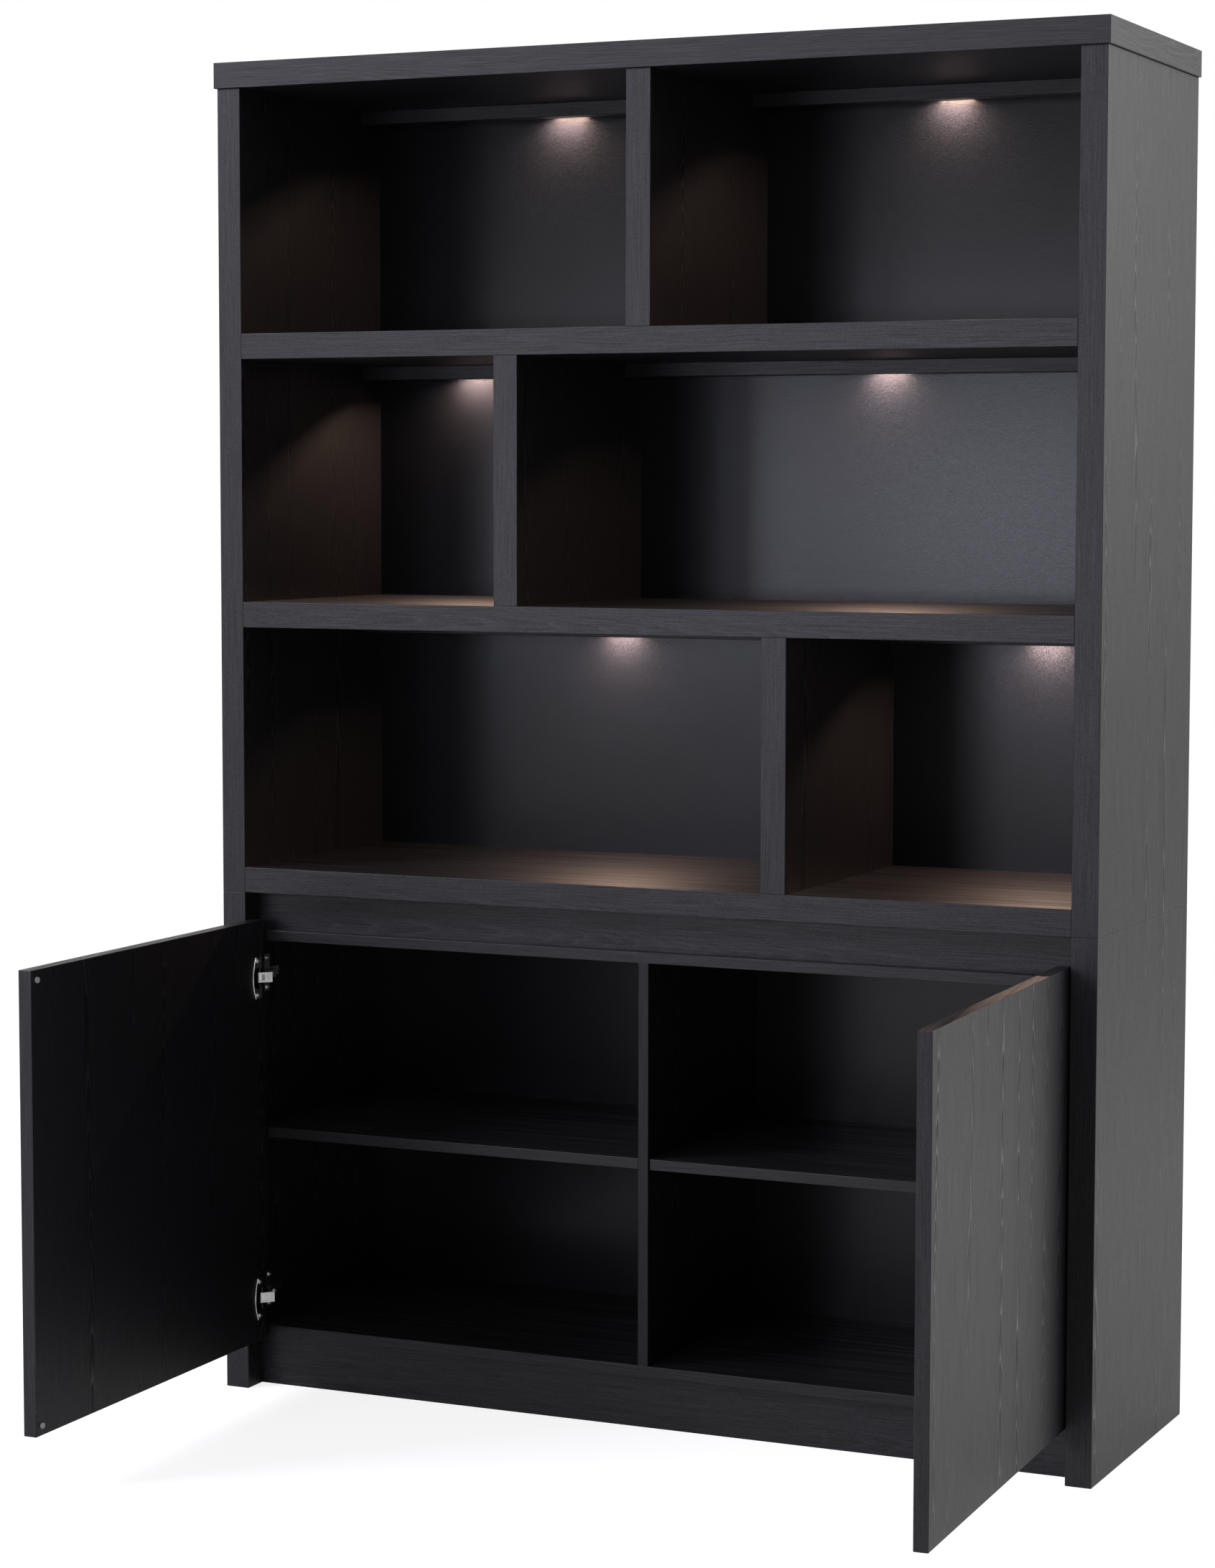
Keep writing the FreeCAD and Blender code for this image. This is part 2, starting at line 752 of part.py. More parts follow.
def slotted_screw(name, x, y, z, axis, head_is_higher, length):
    """A round-headed screw standing on the plane at x, y, z, with a cross slot in its head."""
    along = "XYZ".index(axis)
    shank = [x, y, z]
    head = [x, y, z]
    slots = [x, y, z]
    if head_is_higher:
        shank[along] = "(%s) - (%s)" % (shank[along], length)
        slots[along] = "(%s) + screw_head_height - screw_recess" % slots[along]
    else:
        head[along] = "(%s) - screw_head_height" % head[along]
        slots[along] = "(%s) - screw_head_height - overrun" % slots[along]
    body = fuse(
        name + "_body",
        [
            rod(name + "_shank", axis, shank, "screw_radius", length),
            rod(name + "_head", axis, head, "screw_head_radius", "screw_head_height"),
        ],
    )
    cuts = []
    for number, long_way in enumerate(i for i in range(3) if i != along):
        ends = [("(%s) - screw_slot / 2" % p, "(%s) + screw_slot / 2" % p) for p in slots]
        reach = "screw_head_radius / 2"
        ends[long_way] = (
            "(%s) - %s" % (slots[long_way], reach),
            "(%s) + %s" % (slots[long_way], reach),
        )
        ends[along] = (slots[along], "(%s) + screw_recess + overrun" % slots[along])
        cuts.append(box("%s_slot_%d" % (name, number), *ends))
    return carve(name, body, [fuse(name + "_cross", cuts)])


def hinge_cup(name, hand, level):
    """The cup let into a leaf, with the curved plate that its two screws hold."""
    centre = leaf_x(hand, "cup_inset")
    shell = rod(
        name + "_shell", "Y", (centre, leaf_y("cup_floor_depth"), level), "cup_radius", "cup_depth"
    )
    bore = rod(
        name + "_bore",
        "Y",
        (centre, leaf_y("cup_floor_depth + cup_floor"), level),
        "cup_bore",
        "cup_depth + wing_thickness + overrun",
    )
    wing_blank = box(
        name + "_wing_blank",
        leaf_span(hand, "cup_inset - wing_near", "cup_inset + wing_far"),
        (leaf_y("door_inner"), leaf_y("wing_face")),
        (level + " - wing_height / 2", level + " + wing_height / 2"),
    )
    rounding = rod(
        name + "_rounding",
        "Y",
        (leaf_x(hand, "cup_inset + wing_far - wing_round"), leaf_y("door_inner - overrun"), level),
        "wing_round",
        "wing_thickness + 2 * overrun",
    )
    wing = doc.addObject("Part::MultiCommon", name + "_wing")
    wing.Shapes = [wing_blank, rounding]
    pin = rod(
        name + "_pin",
        "Z",
        (
            leaf_x(hand, "cup_pin_across"),
            leaf_y("cup_pin_along"),
            level + " - cup_pin_half - cup_wall / 2",
        ),
        "link_pin_radius",
        "2 * cup_pin_half + cup_wall",
    )
    screw_holes = [
        rod(
            "%s_screw_hole_%d" % (name, number),
            "Y",
            (
                leaf_x(hand, "cup_inset + cup_screw_offset"),
                leaf_y("door_inner - overrun"),
                "%s %s cup_screw_pitch / 2" % (level, sign),
            ),
            "screw_radius + screw_play",
            "wing_thickness + 2 * overrun",
        )
        for number, sign in enumerate("-+")
    ]
    hollow = carve(name + "_hollow", fuse(name + "_body", [shell, wing]), [bore] + screw_holes)
    return fuse(name, [hollow, pin])


for side, hand in HANDS:
    leaf = box(
        side + "_leaf",
        leaf_span(hand, "door_side_gap", "door_side_gap + door_width"),
        (leaf_y("door_setback"), leaf_y("door_inner")),
        ("door_foot", "door_top"),
    )
    leaf = eased(side + "_leaf_eased", leaf, every_edge, dims.door_edge_radius)
    drilled = []
    cups = []
    cup_screws = []
    for level_name, level in LEVELS:
        name = "%s_%s_cup" % (side, level_name)
        cups.append(hinge_cup(name, hand, level))
        drilled.append(
            rod(
                name + "_seat",
                "Y",
                (leaf_x(hand, "cup_inset"), leaf_y("cup_floor_depth"), level),
                "cup_radius + cup_play",
                "cup_depth + overrun",
            )
        )
        for number, sign in enumerate("-+"):
            x = leaf_x(hand, "cup_inset + cup_screw_offset")
            z = "%s %s cup_screw_pitch / 2" % (level, sign)
            screw_name = "%s_screw_%d" % (name, number)
            top = leaf_y("wing_face")
            cup_screws.append(slotted_screw(screw_name, x, top, z, "Y", True, "screw_length"))
            drilled.append(
                rod(
                    screw_name + "_pilot",
                    "Y",
                    (x, leaf_y("wing_face - screw_length - screw_play"), z),
                    "screw_radius + screw_play",
                    "screw_length",
                )
            )
    bumpers = []
    for number, z in enumerate(("door_top - bumper_edge", "door_foot + bumper_edge")):
        bumpers.append(
            rod(
                "%s_bumper_%d" % (side, number),
                "Y",
                (
                    leaf_x(hand, "door_side_gap + door_width - bumper_edge"),
                    leaf_y("door_inner"),
                    z,
                ),
                "bumper_radius",
                "bumper_height",
            )
        )
    hang(keep(side + "_door", carve(side + "_door", leaf, drilled)), side, hand)
    hang(keep(side + "_hinge_cups", bunch(side + "_hinge_cups", cups)), side, hand)
    hang(keep(side + "_cup_screws", bunch(side + "_cup_screws", cup_screws)), side, hand)
    hang(keep(side + "_door_bumpers", bunch(side + "_door_bumpers", bumpers)), side, hand)


# Hinge arms: a cranked channel, drawn in a frame on the side's inner face at the hinge's height
def flat_sketch(body, name, points, offset):
    """A closed outline on the body's own floor plane, its corners bound to the sheets."""
    sketch = body.newObject("Sketcher::SketchObject", name)
    plane = [item for item in body.Origin.OriginFeatures if item.Role == "XY_Plane"][0]
    sketch.AttachmentSupport = [(plane, "")]
    sketch.MapMode = "FlatFace"
    bind(sketch, "AttachmentOffset.Base.z", offset)
    count = len(points)
    corners = [FreeCAD.Vector(number, number * number, 0) for number in range(count)]
    for number in range(count):
        sketch.addGeometry(Part.LineSegment(corners[number], corners[(number + 1) % count]), False)
    for number in range(count):
        sketch.addConstraint(Sketcher.Constraint("Coincident", number, 2, (number + 1) % count, 1))
    for number, point in enumerate(points):
        for kind, text in zip(("DistanceX", "DistanceY"), point):
            index = sketch.addConstraint(Sketcher.Constraint(kind, -1, 1, number, 1, number + 1.0))
            bind(sketch, "Constraints[%d]" % index, text)
    return sketch


def round_sketch(body, name, x, y, radius_text):
    sketch = body.newObject("Sketcher::SketchObject", name)
    plane = [item for item in body.Origin.OriginFeatures if item.Role == "XY_Plane"][0]
    sketch.AttachmentSupport = [(plane, "")]
    sketch.MapMode = "FlatFace"
    sketch.addGeometry(Part.Circle(FreeCAD.Vector(1, 1, 0), FreeCAD.Vector(0, 0, 1), 1), False)
    for kind, text in (("DistanceX", x), ("DistanceY", y)):
        index = sketch.addConstraint(Sketcher.Constraint(kind, -1, 1, 0, 3, 1.0))
        bind(sketch, "Constraints[%d]" % index, text)
    index = sketch.addConstraint(Sketcher.Constraint("Radius", 0, 1.0))
    bind(sketch, "Constraints[%d]" % index, radius_text)
    return sketch


def pad(body, name, sketch, length):
    feature = body.newObject("PartDesign::Pad", name)
    feature.Profile = sketch
    feature.Midplane = True
    bind(feature, "Length", length)
    return feature


def pocket(body, name, sketch, length):
    feature = body.newObject("PartDesign::Pocket", name)
    feature.Profile = sketch
    feature.Midplane = True
    bind(feature, "Length", length)
    return feature


def between(low, high, share):
    return "(%s) + %r * ((%s) - (%s))" % (low, share, high, low)


OUTER_BEND = (
    between("arm_outside", "arm_rise", CRANK_OUTER_SHARES[0]),
    between("arm_shoulder", "arm_bend", CRANK_OUTER_SHARES[1]),
)
INNER_BEND = (
    between("arm_inside", "arm_foot", CRANK_INNER_SHARES[0]),
    between("arm_shoulder", "arm_bend", CRANK_INNER_SHARES[1]),
)
ARM_OUTLINE = [
    ("arm_inside", "arm_nose"),
    ("arm_outside", "arm_nose"),
    ("arm_outside", "arm_shoulder"),
    OUTER_BEND,
    ("arm_rise", "arm_bend"),
    ("arm_rise", "arm_end"),
    ("arm_foot", "arm_end"),
    ("arm_foot", "arm_bend"),
    INNER_BEND,
    ("arm_inside", "arm_shoulder"),
]
ARM_HOLLOW = [
    ("arm_inside - overrun", "arm_nose - overrun"),
    ("arm_outside + overrun", "arm_nose - overrun"),
    ("arm_outside + overrun", "arm_shoulder"),
    ("arm_outside - arm_wall", "arm_shoulder"),
    ("%s - arm_wall" % OUTER_BEND[0], "%s - arm_wall" % OUTER_BEND[1]),
    ("arm_rise - arm_wall", "arm_bend - arm_wall"),
    ("arm_rise - arm_wall", "arm_end + overrun"),
    ("arm_foot - overrun", "arm_end + overrun"),
    ("arm_foot - overrun", "arm_bend - overrun"),
    ("%s - overrun" % INNER_BEND[0], "%s - overrun" % INNER_BEND[1]),
    ("arm_inside - overrun", "arm_shoulder - overrun"),
]


def seat_on_side(thing, hand, level):
    """Put a hinge's fixed piece on the side's inner face; the right-hand one is turned over."""
    if hand > 0:
        thing.Placement.Rotation = FreeCAD.Rotation(FreeCAD.Vector(0, 1, 0), 180)
    place(thing, across(hand, "0"), "-side_depth", level)


def hinge_arm(name, hand, level):
    body = doc.addObject("PartDesign::Body", name)
    pad(body, name + "_pad", flat_sketch(body, name + "_outline", ARM_OUTLINE, "0"), "arm_height")
    doc.recompute()
    hollow = flat_sketch(body, name + "_hollow", ARM_HOLLOW, "0")
    pocket(body, name + "_channel", hollow, "arm_height - 2 * arm_wall")
    bore_radius = "link_pin_radius + link_pin_play"
    pin_bore = round_sketch(body, name + "_eye", "link_inset", "link_depth", bore_radius)
    pocket(body, name + "_pin_bore", pin_bore, "arm_height + overrun")
    clamp = rod(
        name + "_clamp_hole",
        "X",
        ("block_top - overrun", "clamp_screw_depth", "0"),
        "screw_radius + screw_play",
        "arm_wall + 2 * overrun",
    )
    made = carve(name + "_drilled", body, [clamp])
    seat_on_side(made, hand, level)
    return made


def hinge_plate(name, hand, level):
    """The mounting plate on the side, with the block that the arm straddles."""
    base = box(
        name + "_base",
        ("0", "plate_thickness"),
        ("plate_start", "plate_end"),
        ("-plate_width / 2", "plate_width / 2"),
    )
    wing = box(
        name + "_wing",
        ("0", "plate_thickness"),
        ("plate_screw_depth - plate_width / 2", "plate_screw_depth + plate_width / 2"),
        ("-plate_wing_height / 2", "plate_wing_height / 2"),
    )
    block = box(
        name + "_block",
        ("0", "block_top"),
        ("plate_start", "arm_end"),
        ("block_play + arm_wall - arm_height / 2", "arm_height / 2 - arm_wall - block_play"),
    )
    drilled = [
        rod(
            "%s_hole_%d" % (name, number),
            "X",
            ("-overrun", "plate_screw_depth", "%splate_screw_pitch / 2" % sign),
            "screw_radius + screw_play",
            "plate_thickness + 2 * overrun",
        )
        for number, sign in enumerate(("-", ""))
    ]
    drilled.append(
        rod(
            name + "_clamp_bore",
            "X",
            ("arm_rise - screw_length + screw_recess", "clamp_screw_depth", "0"),
            "screw_radius + screw_play",
            "screw_length",
        )
    )
    made = carve(name, fuse(name + "_body", [base, wing, block]), drilled)
    seat_on_side(made, hand, level)
    return made


def mirrored(points):
    """An outline from its upper half, given from the root to the tip."""
    return points + [(x, "-(%s)" % y) for x, y in reversed(points)]


FORK_CLOSING = between("fork_root", "link_length", FORK_CLOSING_SHARE)
LINK_OUTLINE = mirrored(
    [
        ("0", "link_thickness / 2"),
        ("fork_root - fork_outside + link_thickness / 2", "link_thickness / 2"),
        ("fork_root - fork_wall + fork_mouth_play", "fork_outside"),
        (FORK_CLOSING, "fork_outside"),
        ("link_length + fork_lip", "fork_mouth + fork_lip + fork_tip"),
    ]
)
LINK_FORK = mirrored(
    [
        ("fork_root", "fork_half_width * %r" % FORK_ROOT_SHARE),
        ("fork_root + fork_wall", "fork_half_width"),
        (FORK_CLOSING, "fork_half_width"),
        ("link_length", "fork_mouth"),
        ("link_length + fork_lip + overrun", "fork_mouth + fork_lip + overrun"),
    ]
)


def hinge_link(name, side, hand, level):
    """The link from the arm's pin, drawn along +X from its eye; its fork takes the cup's pin."""
    body = doc.addObject("PartDesign::Body", name + "_blank")
    pad(body, name + "_pad", flat_sketch(body, name + "_outline", LINK_OUTLINE, "0"), "link_height")
    doc.recompute()
    pocket(body, name + "_slot", flat_sketch(body, name + "_fork", LINK_FORK, "0"), "link_height + overrun")
    eye = rod(name + "_eye", "Z", ("0", "0", "-link_height / 2"), "link_eye", "link_height")
    bore = rod(
        name + "_bore",
        "Z",
        ("0", "0", "-(link_height / 2 + overrun)"),
        "link_pin_radius + link_pin_play",
        "link_height + 2 * overrun",
    )
    made = carve(name, fuse(name + "_body", [eye, body]), [bore])
    place(made, across(hand, "link_inset"), deep("link_depth"), level)
    swung = "2 * link_half_turn * %s_open_angle / 90" % side
    if hand < 0:
        bind(made, "Placement.Rotation.Angle", "link_rest + 180 deg - link_half_turn + " + swung)
    else:
        bind(made, "Placement.Rotation.Angle", "link_half_turn - link_rest - " + swung)
    return made


arms = []
plates = []
plate_screws = []
clamp_screws = []
link_pins = []
for side, hand in HANDS:
    links = []
    for level_name, level in LEVELS:
        name = "%s_%s_" % (side, level_name)
        arms.append(hinge_arm(name + "arm", hand, level))
        plates.append(hinge_plate(name + "plate", hand, level))
        links.append(hinge_link(name + "link", side, hand, level))
        link_pins.append(
            rod(
                name + "link_pin",
                "Z",
                (across(hand, "link_inset"), deep("link_depth"), level + " - arm_height / 2"),
                "link_pin_radius",
                "arm_height",
            )
        )
        clamp = slotted_screw(
            name + "clamp_screw",
            "arm_rise",
            "clamp_screw_depth",
            "0",
            "X",
            True,
            "screw_length - 2 * screw_recess",
        )
        seat_on_side(clamp, hand, level)
        clamp_screws.append(clamp)
        for number, sign in enumerate("-+"):
            height = "%s %s plate_screw_pitch / 2" % (level, sign)
            plate_screws.append(
                slotted_screw(
                    "%splate_screw_%d" % (name, number),
                    across(hand, "plate_thickness"),
                    deep("plate_screw_depth"),
                    height,
                    "X",
                    hand < 0,
                    "screw_length",
                )
            )
            pilot_low = across(hand, "plate_thickness - screw_length - screw_play")
            drilled = rod(
                "%spilot_%d" % (name, number),
                "X",
                (
                    pilot_low if hand < 0 else across(hand, "overrun"),
                    deep("plate_screw_depth"),
                    height,
                ),
                "screw_radius + screw_play",
                "screw_length - plate_thickness + screw_play + overrun",
            )
            holes["base_side_" + side].append(drilled)
    keep(side + "_hinge_links", bunch(side + "_hinge_links", links))

keep("hinge_arms", bunch("hinge_arms", arms))
keep("hinge_plates", bunch("hinge_plates", plates))
keep("hinge_plate_screws", bunch("hinge_plate_screws", plate_screws))
keep("hinge_clamp_screws", bunch("hinge_clamp_screws", clamp_screws))
keep("hinge_link_pins", bunch("hinge_link_pins", link_pins))

# The sides are carved last, when every hole in them is known
for side, hand in HANDS:
    for unit in ("upper", "base"):
        node = "%s_side_%s" % (unit, side)
        finish(node, doc.getObject(node + "_eased"))


# Lamp driver, lying on the carcass top behind the frieze rail
def upper_edges(edge, bounds):
    """All the edges that don't lie in a block's underside."""
    return edge.CenterOfMass.z > bounds.ZMin


def lamp_driver(name):
    case = box(
        name + "_case",
        ("driver_start", "driver_end"),
        ("driver_front", "driver_front + driver_width"),
        ("carcass_top", "carcass_top + driver_height"),
    )
    case = eased(name + "_eased", case, upper_edges, dims.driver_radius)
    middle = "driver_front + driver_width / 2"
    mid_height = "carcass_top + driver_height / 2"
    sockets = []
    for number in range(SOCKET_COUNT):
        start = "driver_start + driver_length / 2 + %r * socket_pitch" % (number - SOCKET_COUNT / 2)
        sockets.append(
            box(
                "%s_socket_%d" % (name, number),
                (start, start + " + socket_width"),
                (
                    "driver_front + driver_width - socket_depth",
                    "driver_front + driver_width + overrun",
                ),
                (mid_height + " - socket_height / 2", mid_height + " + socket_height / 2"),
            )
        )
    inlet = box(
        name + "_inlet",
        ("driver_start - overrun", "driver_start + socket_depth"),
        (middle + " - inlet_width / 2", middle + " + inlet_width / 2"),
        (mid_height + " - inlet_height / 2", mid_height + " + inlet_height / 2"),
    )
    return carve(name, case, sockets + [inlet])


keep("lamp_driver", lamp_driver("lamp_driver"))
keep("dowels", bunch("dowels", dowels))
keep("locating_pins", bunch("locating_pins", locating_pins))
keep("shelf_pins", bunch("shelf_pins", shelf_pins))
keep("back_panel_screws", bunch("back_panel_screws", back_screws))

doc.recompute()

# Every feature has to have worked, and every sub-part has to be sound, before anything is written
for thing in doc.Objects:
    if "Invalid" in thing.State or "Error" in thing.State:
        raise RuntimeError("%s failed: %s" % (thing.Name, thing.State))
for node, made in parts.items():
    if made.Shape.isNull() or not made.Shape.isValid() or not made.Shape.Solids:
        raise RuntimeError("%s has no sound solid" % node)

os.makedirs("parts", exist_ok=True)
for node, made in parts.items():
    made.Shape.exportStep("parts/%s.step" % node)
print("%d sub-parts" % len(parts))
print("door leaf", round(places.door_width, 3), "link turn each way", places.link_half_turn)
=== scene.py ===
# %% [markdown]
# A wall unit in dark ash-grain board: an open shelf case with six lit cells on a base cabinet with two doors.
# Every board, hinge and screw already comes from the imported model, at its real size and place. What is left
# for Blender is what the eye reads first: the grain, the satin of the boards, the mottled back panels, the
# nickel of the hinges, the small lamps, and a plain studio round it all.

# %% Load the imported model
import math

import bpy
import bmesh
from mathutils import Matrix, Vector


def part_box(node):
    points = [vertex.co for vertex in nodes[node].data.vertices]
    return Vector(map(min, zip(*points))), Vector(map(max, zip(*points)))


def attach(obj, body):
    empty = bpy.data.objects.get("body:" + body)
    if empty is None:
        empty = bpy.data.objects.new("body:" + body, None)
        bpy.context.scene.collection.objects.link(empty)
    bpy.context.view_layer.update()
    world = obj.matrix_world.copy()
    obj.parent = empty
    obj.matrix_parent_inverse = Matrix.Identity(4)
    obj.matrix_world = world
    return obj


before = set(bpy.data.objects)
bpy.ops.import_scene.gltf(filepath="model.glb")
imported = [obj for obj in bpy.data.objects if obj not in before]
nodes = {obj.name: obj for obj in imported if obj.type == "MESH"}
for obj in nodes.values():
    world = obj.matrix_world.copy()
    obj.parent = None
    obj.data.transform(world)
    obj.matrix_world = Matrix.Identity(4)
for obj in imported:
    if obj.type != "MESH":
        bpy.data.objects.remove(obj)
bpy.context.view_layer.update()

scene = bpy.context.scene

# %% [markdown]
# The camera comes first, because every later choice is judged through it. Its place was worked out from the
# straight edges of the unit in the photograph: a long lens, a little above the middle shelf, well to the right.
# A camera looks along its own -Z, so its matrix is built from three directions: right, up and backwards.

# %% Camera
EYE = Vector((2.1145, -5.1687, 1.3740))
YAW, PITCH, ROLL = -0.4291, 0.0820, 0.0011
PHOTO_HEIGHT = 2184
FOCAL_PIXELS = 5049.81
SENSOR = 36.0

forward = Vector((math.sin(YAW) * math.cos(PITCH), math.cos(YAW) * math.cos(PITCH), -math.sin(PITCH)))
right = Vector((math.cos(YAW), -math.sin(YAW), 0))
up = right.cross(forward)
facing = Matrix((right, up, -forward)).transposed() @ Matrix.Rotation(ROLL, 3, "Z")
lens_data = bpy.data.cameras.new("photo_camera")
lens_data.sensor_fit = "VERTICAL"
lens_data.sensor_height = SENSOR
lens_data.lens = FOCAL_PIXELS * SENSOR / PHOTO_HEIGHT
camera = bpy.data.objects.new("photo_camera", lens_data)
camera.matrix_world = Matrix.Translation(EYE) @ facing.to_4x4()
scene.collection.objects.link(camera)
scene.camera = camera
print("lens", round(lens_data.lens, 2), "mm")

# %% [markdown]
# A material is a small graph of nodes. Writing its arithmetic as plain Python keeps it readable, so a thin
# class wraps one output socket and lets the usual operators add Math nodes. Everything else goes through one
# method, which takes a node's type, its settings and what its sockets hold. Every finish reads the Object
# coordinates, so its scale is in metres, and it stays on the board when a door swings.

# %% Shader maths
class Value:
    """One output socket of a shader graph."""

    def __init__(self, finish, socket):
        self.finish = finish
        self.socket = socket

    def join(self, operation, other, flipped=False):
        """A Math node that works on this value and another, the other one first where flipped."""
        pair = (other, self) if flipped else (self, other)
        return self.finish.node("ShaderNodeMath", {"operation": operation}, dict(enumerate(pair)))

    def __add__(self, other):
        return self.join("ADD", other)

    def __sub__(self, other):
        return self.join("SUBTRACT", other)

    def __rsub__(self, other):
        return self.join("SUBTRACT", other, flipped=True)

    def __mul__(self, other):
        return self.join("MULTIPLY", other)

    def __truediv__(self, other):
        return self.join("DIVIDE", other)

    def __gt__(self, other):
        return self.join("GREATER_THAN", other)

    def __abs__(self):
        return self.join("ABSOLUTE", 0)

    __radd__ = __add__
    __rmul__ = __mul__


class Finish:
    """A material that is being written."""

    def __init__(self, name):
        self.material = bpy.data.materials.new(name)
        self.material.use_nodes = True
        self.tree = self.material.node_tree
        self.tree.nodes.clear()

    def node(self, kind, settings=None, sockets=None, out=0):
        """A new node; a socket is named or numbered, and holds a Value or a constant."""
        made = self.tree.nodes.new(kind)
        for key, setting in (settings or {}).items():
            setattr(made, key, setting)
        for key, held in (sockets or {}).items():
            if isinstance(held, Value):
                self.tree.links.new(held.socket, made.inputs[key])
            else:
                made.inputs[key].default_value = held
        return Value(self, made.outputs[out])

    def place(self):
        """Object coordinates as three numbers."""
        spot = self.node("ShaderNodeTexCoord", out="Object")
        return [self.node("ShaderNodeSeparateXYZ", sockets={0: spot}, out=axis) for axis in "XYZ"]

    def normal(self):
        """The surface's direction in the object's own axes, as three numbers."""
        way = self.node("ShaderNodeTexCoord", out="Normal")
        return [self.node("ShaderNodeSeparateXYZ", sockets={0: way}, out=axis) for axis in "XYZ"]

    def vector(self, x, y, z):
        return self.node("ShaderNodeCombineXYZ", sockets={0: x, 1: y, 2: z})

    def noise(self, x, y, z, detail=2.0, roughness=0.5):
        """Soft noise about zero, from -0.5 to 0.5."""
        held = {"Vector": self.vector(x, y, z), "Scale": 1.0, "Detail": detail, "Roughness": roughness}
        return self.node("ShaderNodeTexNoise", sockets=held) - 0.5

    def chance(self, number):
        """The same random value from 0 to 1 for each whole number."""
        return self.node("ShaderNodeTexWhiteNoise", {"noise_dimensions": "1D"}, {"W": number}, out="Value")

    def blend(self, share, first, second):
        """A colour between two others. On a Mix node, 6, 7 and output 2 are the sockets for colours."""
        held = {0: share, 6: first, 7: second}
        return self.node("ShaderNodeMix", {"data_type": "RGBA"}, held, out=2)

    def limited(self, value, low=0.0, high=1.0):
        return self.node("ShaderNodeClamp", sockets={0: value, 1: low, 2: high})

    def bump(self, height, distance, strength=1.0):
        held = {"Height": height, "Distance": distance, "Strength": strength}
        return self.node("ShaderNodeBump", sockets=held)

    def surface(self, **sockets):
        """A Principled surface; a socket's name is written with underscores."""
        held = {key.replace("_", " "): what for key, what in sockets.items()}
        return self.node("ShaderNodeBsdfPrincipled", sockets=held)

    def seen_directly(self):
        """1 for rays from the camera or through glass, 0 for the rest."""
        camera_ray = self.node("ShaderNodeLightPath", out="Is Camera Ray")
        return camera_ray + self.node("ShaderNodeLightPath", out="Is Transmission Ray")

    def seen_mirrored(self):
        """1 for rays that a glossy surface throws on."""
        return self.node("ShaderNodeLightPath", out="Is Glossy Ray")

    def done(self, shader):
        end = self.tree.nodes.new("ShaderNodeOutputMaterial")
        self.tree.links.new(shader.socket, end.inputs["Surface"])
        return self.material


def rgb(red, green, blue):
    return (red, green, blue, 1.0)


print("shader maths ready")

# %% [markdown]
# The boards are chipboard with a pressed ash-grain surface in charcoal. Ash that was sawn flat shows columns of
# nested pointed arches, and between them long fibres that wander a little. An arch is where the saw met one
# growth ring, so the arches are drawn as a ring count: it rises along the board and falls with the square of the
# distance from the column's middle, and its sawtooth gives each ring a slow rise and a sharp edge. Each column
# gets its own steepness and start by chance, a lean moves it sideways, and the figure comes and goes along the
# board, because evenly spaced arches look like a zip. The fibres are noise that is stretched along the grain.
# The colour is so dark that it hardly shows a grain, so most of the contrast is in the lacquer: the coat is
# thicker on the raised fibres and shines there. A picture of real ash would be quicker, but it would repeat and
# could not be resized.

# %% Ash grain
COLUMN = 0.085  # width of one column of arches, in metres
RINGS_ALONG = 15.0  # rings met in one metre along the board
WANDER = 0.09  # how far the lean moves a column
STEEP_LEAST, STEEP_MORE = 2500.0, 9000.0  # rings lost per square metre off the column's middle
COMB = 360.0  # pressed lines to a metre
THREADS = 620.0  # fibres to a metre
HAIRS = 1600.0  # finest fibres to a metre
PORES = 900.0  # pores to a metre
SWAY = 0.011  # how far the fibres wander, in metres
RELIEF = 0.00022  # the grain's depth in metres


def arches(f, along, across):
    """Nested arches in columns, as a value about zero."""
    lean = f.noise(along * 0.8, across * 2.0, 0.0, detail=1.0)
    moved = across + lean * WANDER
    column = (moved / COLUMN).join("FLOOR", 0)
    chance = f.chance(column)
    other = f.chance(column + 40.5)
    stretch = f.noise(along * 1.3, column * 9.1, 0.0, detail=1.0)
    ripple = f.noise(along * 9.0, across * 70.0, 0.0, detail=2.0)
    off = moved - (column + chance * 0.3 + 0.35) * COLUMN
    steep = other * STEEP_MORE + STEEP_LEAST
    rings = other * 7.0 - along * RINGS_ALONG + stretch * 14.0 - off * off * steep + ripple * 1.6
    rise = rings.join("FRACT", 0)
    reach = f.limited(1.35 - abs(off) * 36.0)
    stretches = f.limited(f.noise(along * 1.7, column * 5.3, 0.0, detail=1.0) * 5.0 + chance * 1.2 - 0.3)
    return (rise * rise * rise - 0.25) * reach * stretches


def fibres(f, along, across):
    """Long fibres that sway together, combed fine by the pressing, as a value about zero."""
    sway = f.noise(along * 9.0, across * 14.0, 0.0, detail=1.0)
    drift = across + sway * SWAY
    comb = abs((drift * COMB).join("FRACT", 0) - 0.5) - 0.25
    threads = f.noise(along * 9.0, drift * THREADS, 0.0, detail=1.0)
    hairs = f.noise(along * 50.0, drift * HAIRS, 0.0, detail=1.0)
    return comb * 0.45 + threads * 0.8 + hairs * 0.5


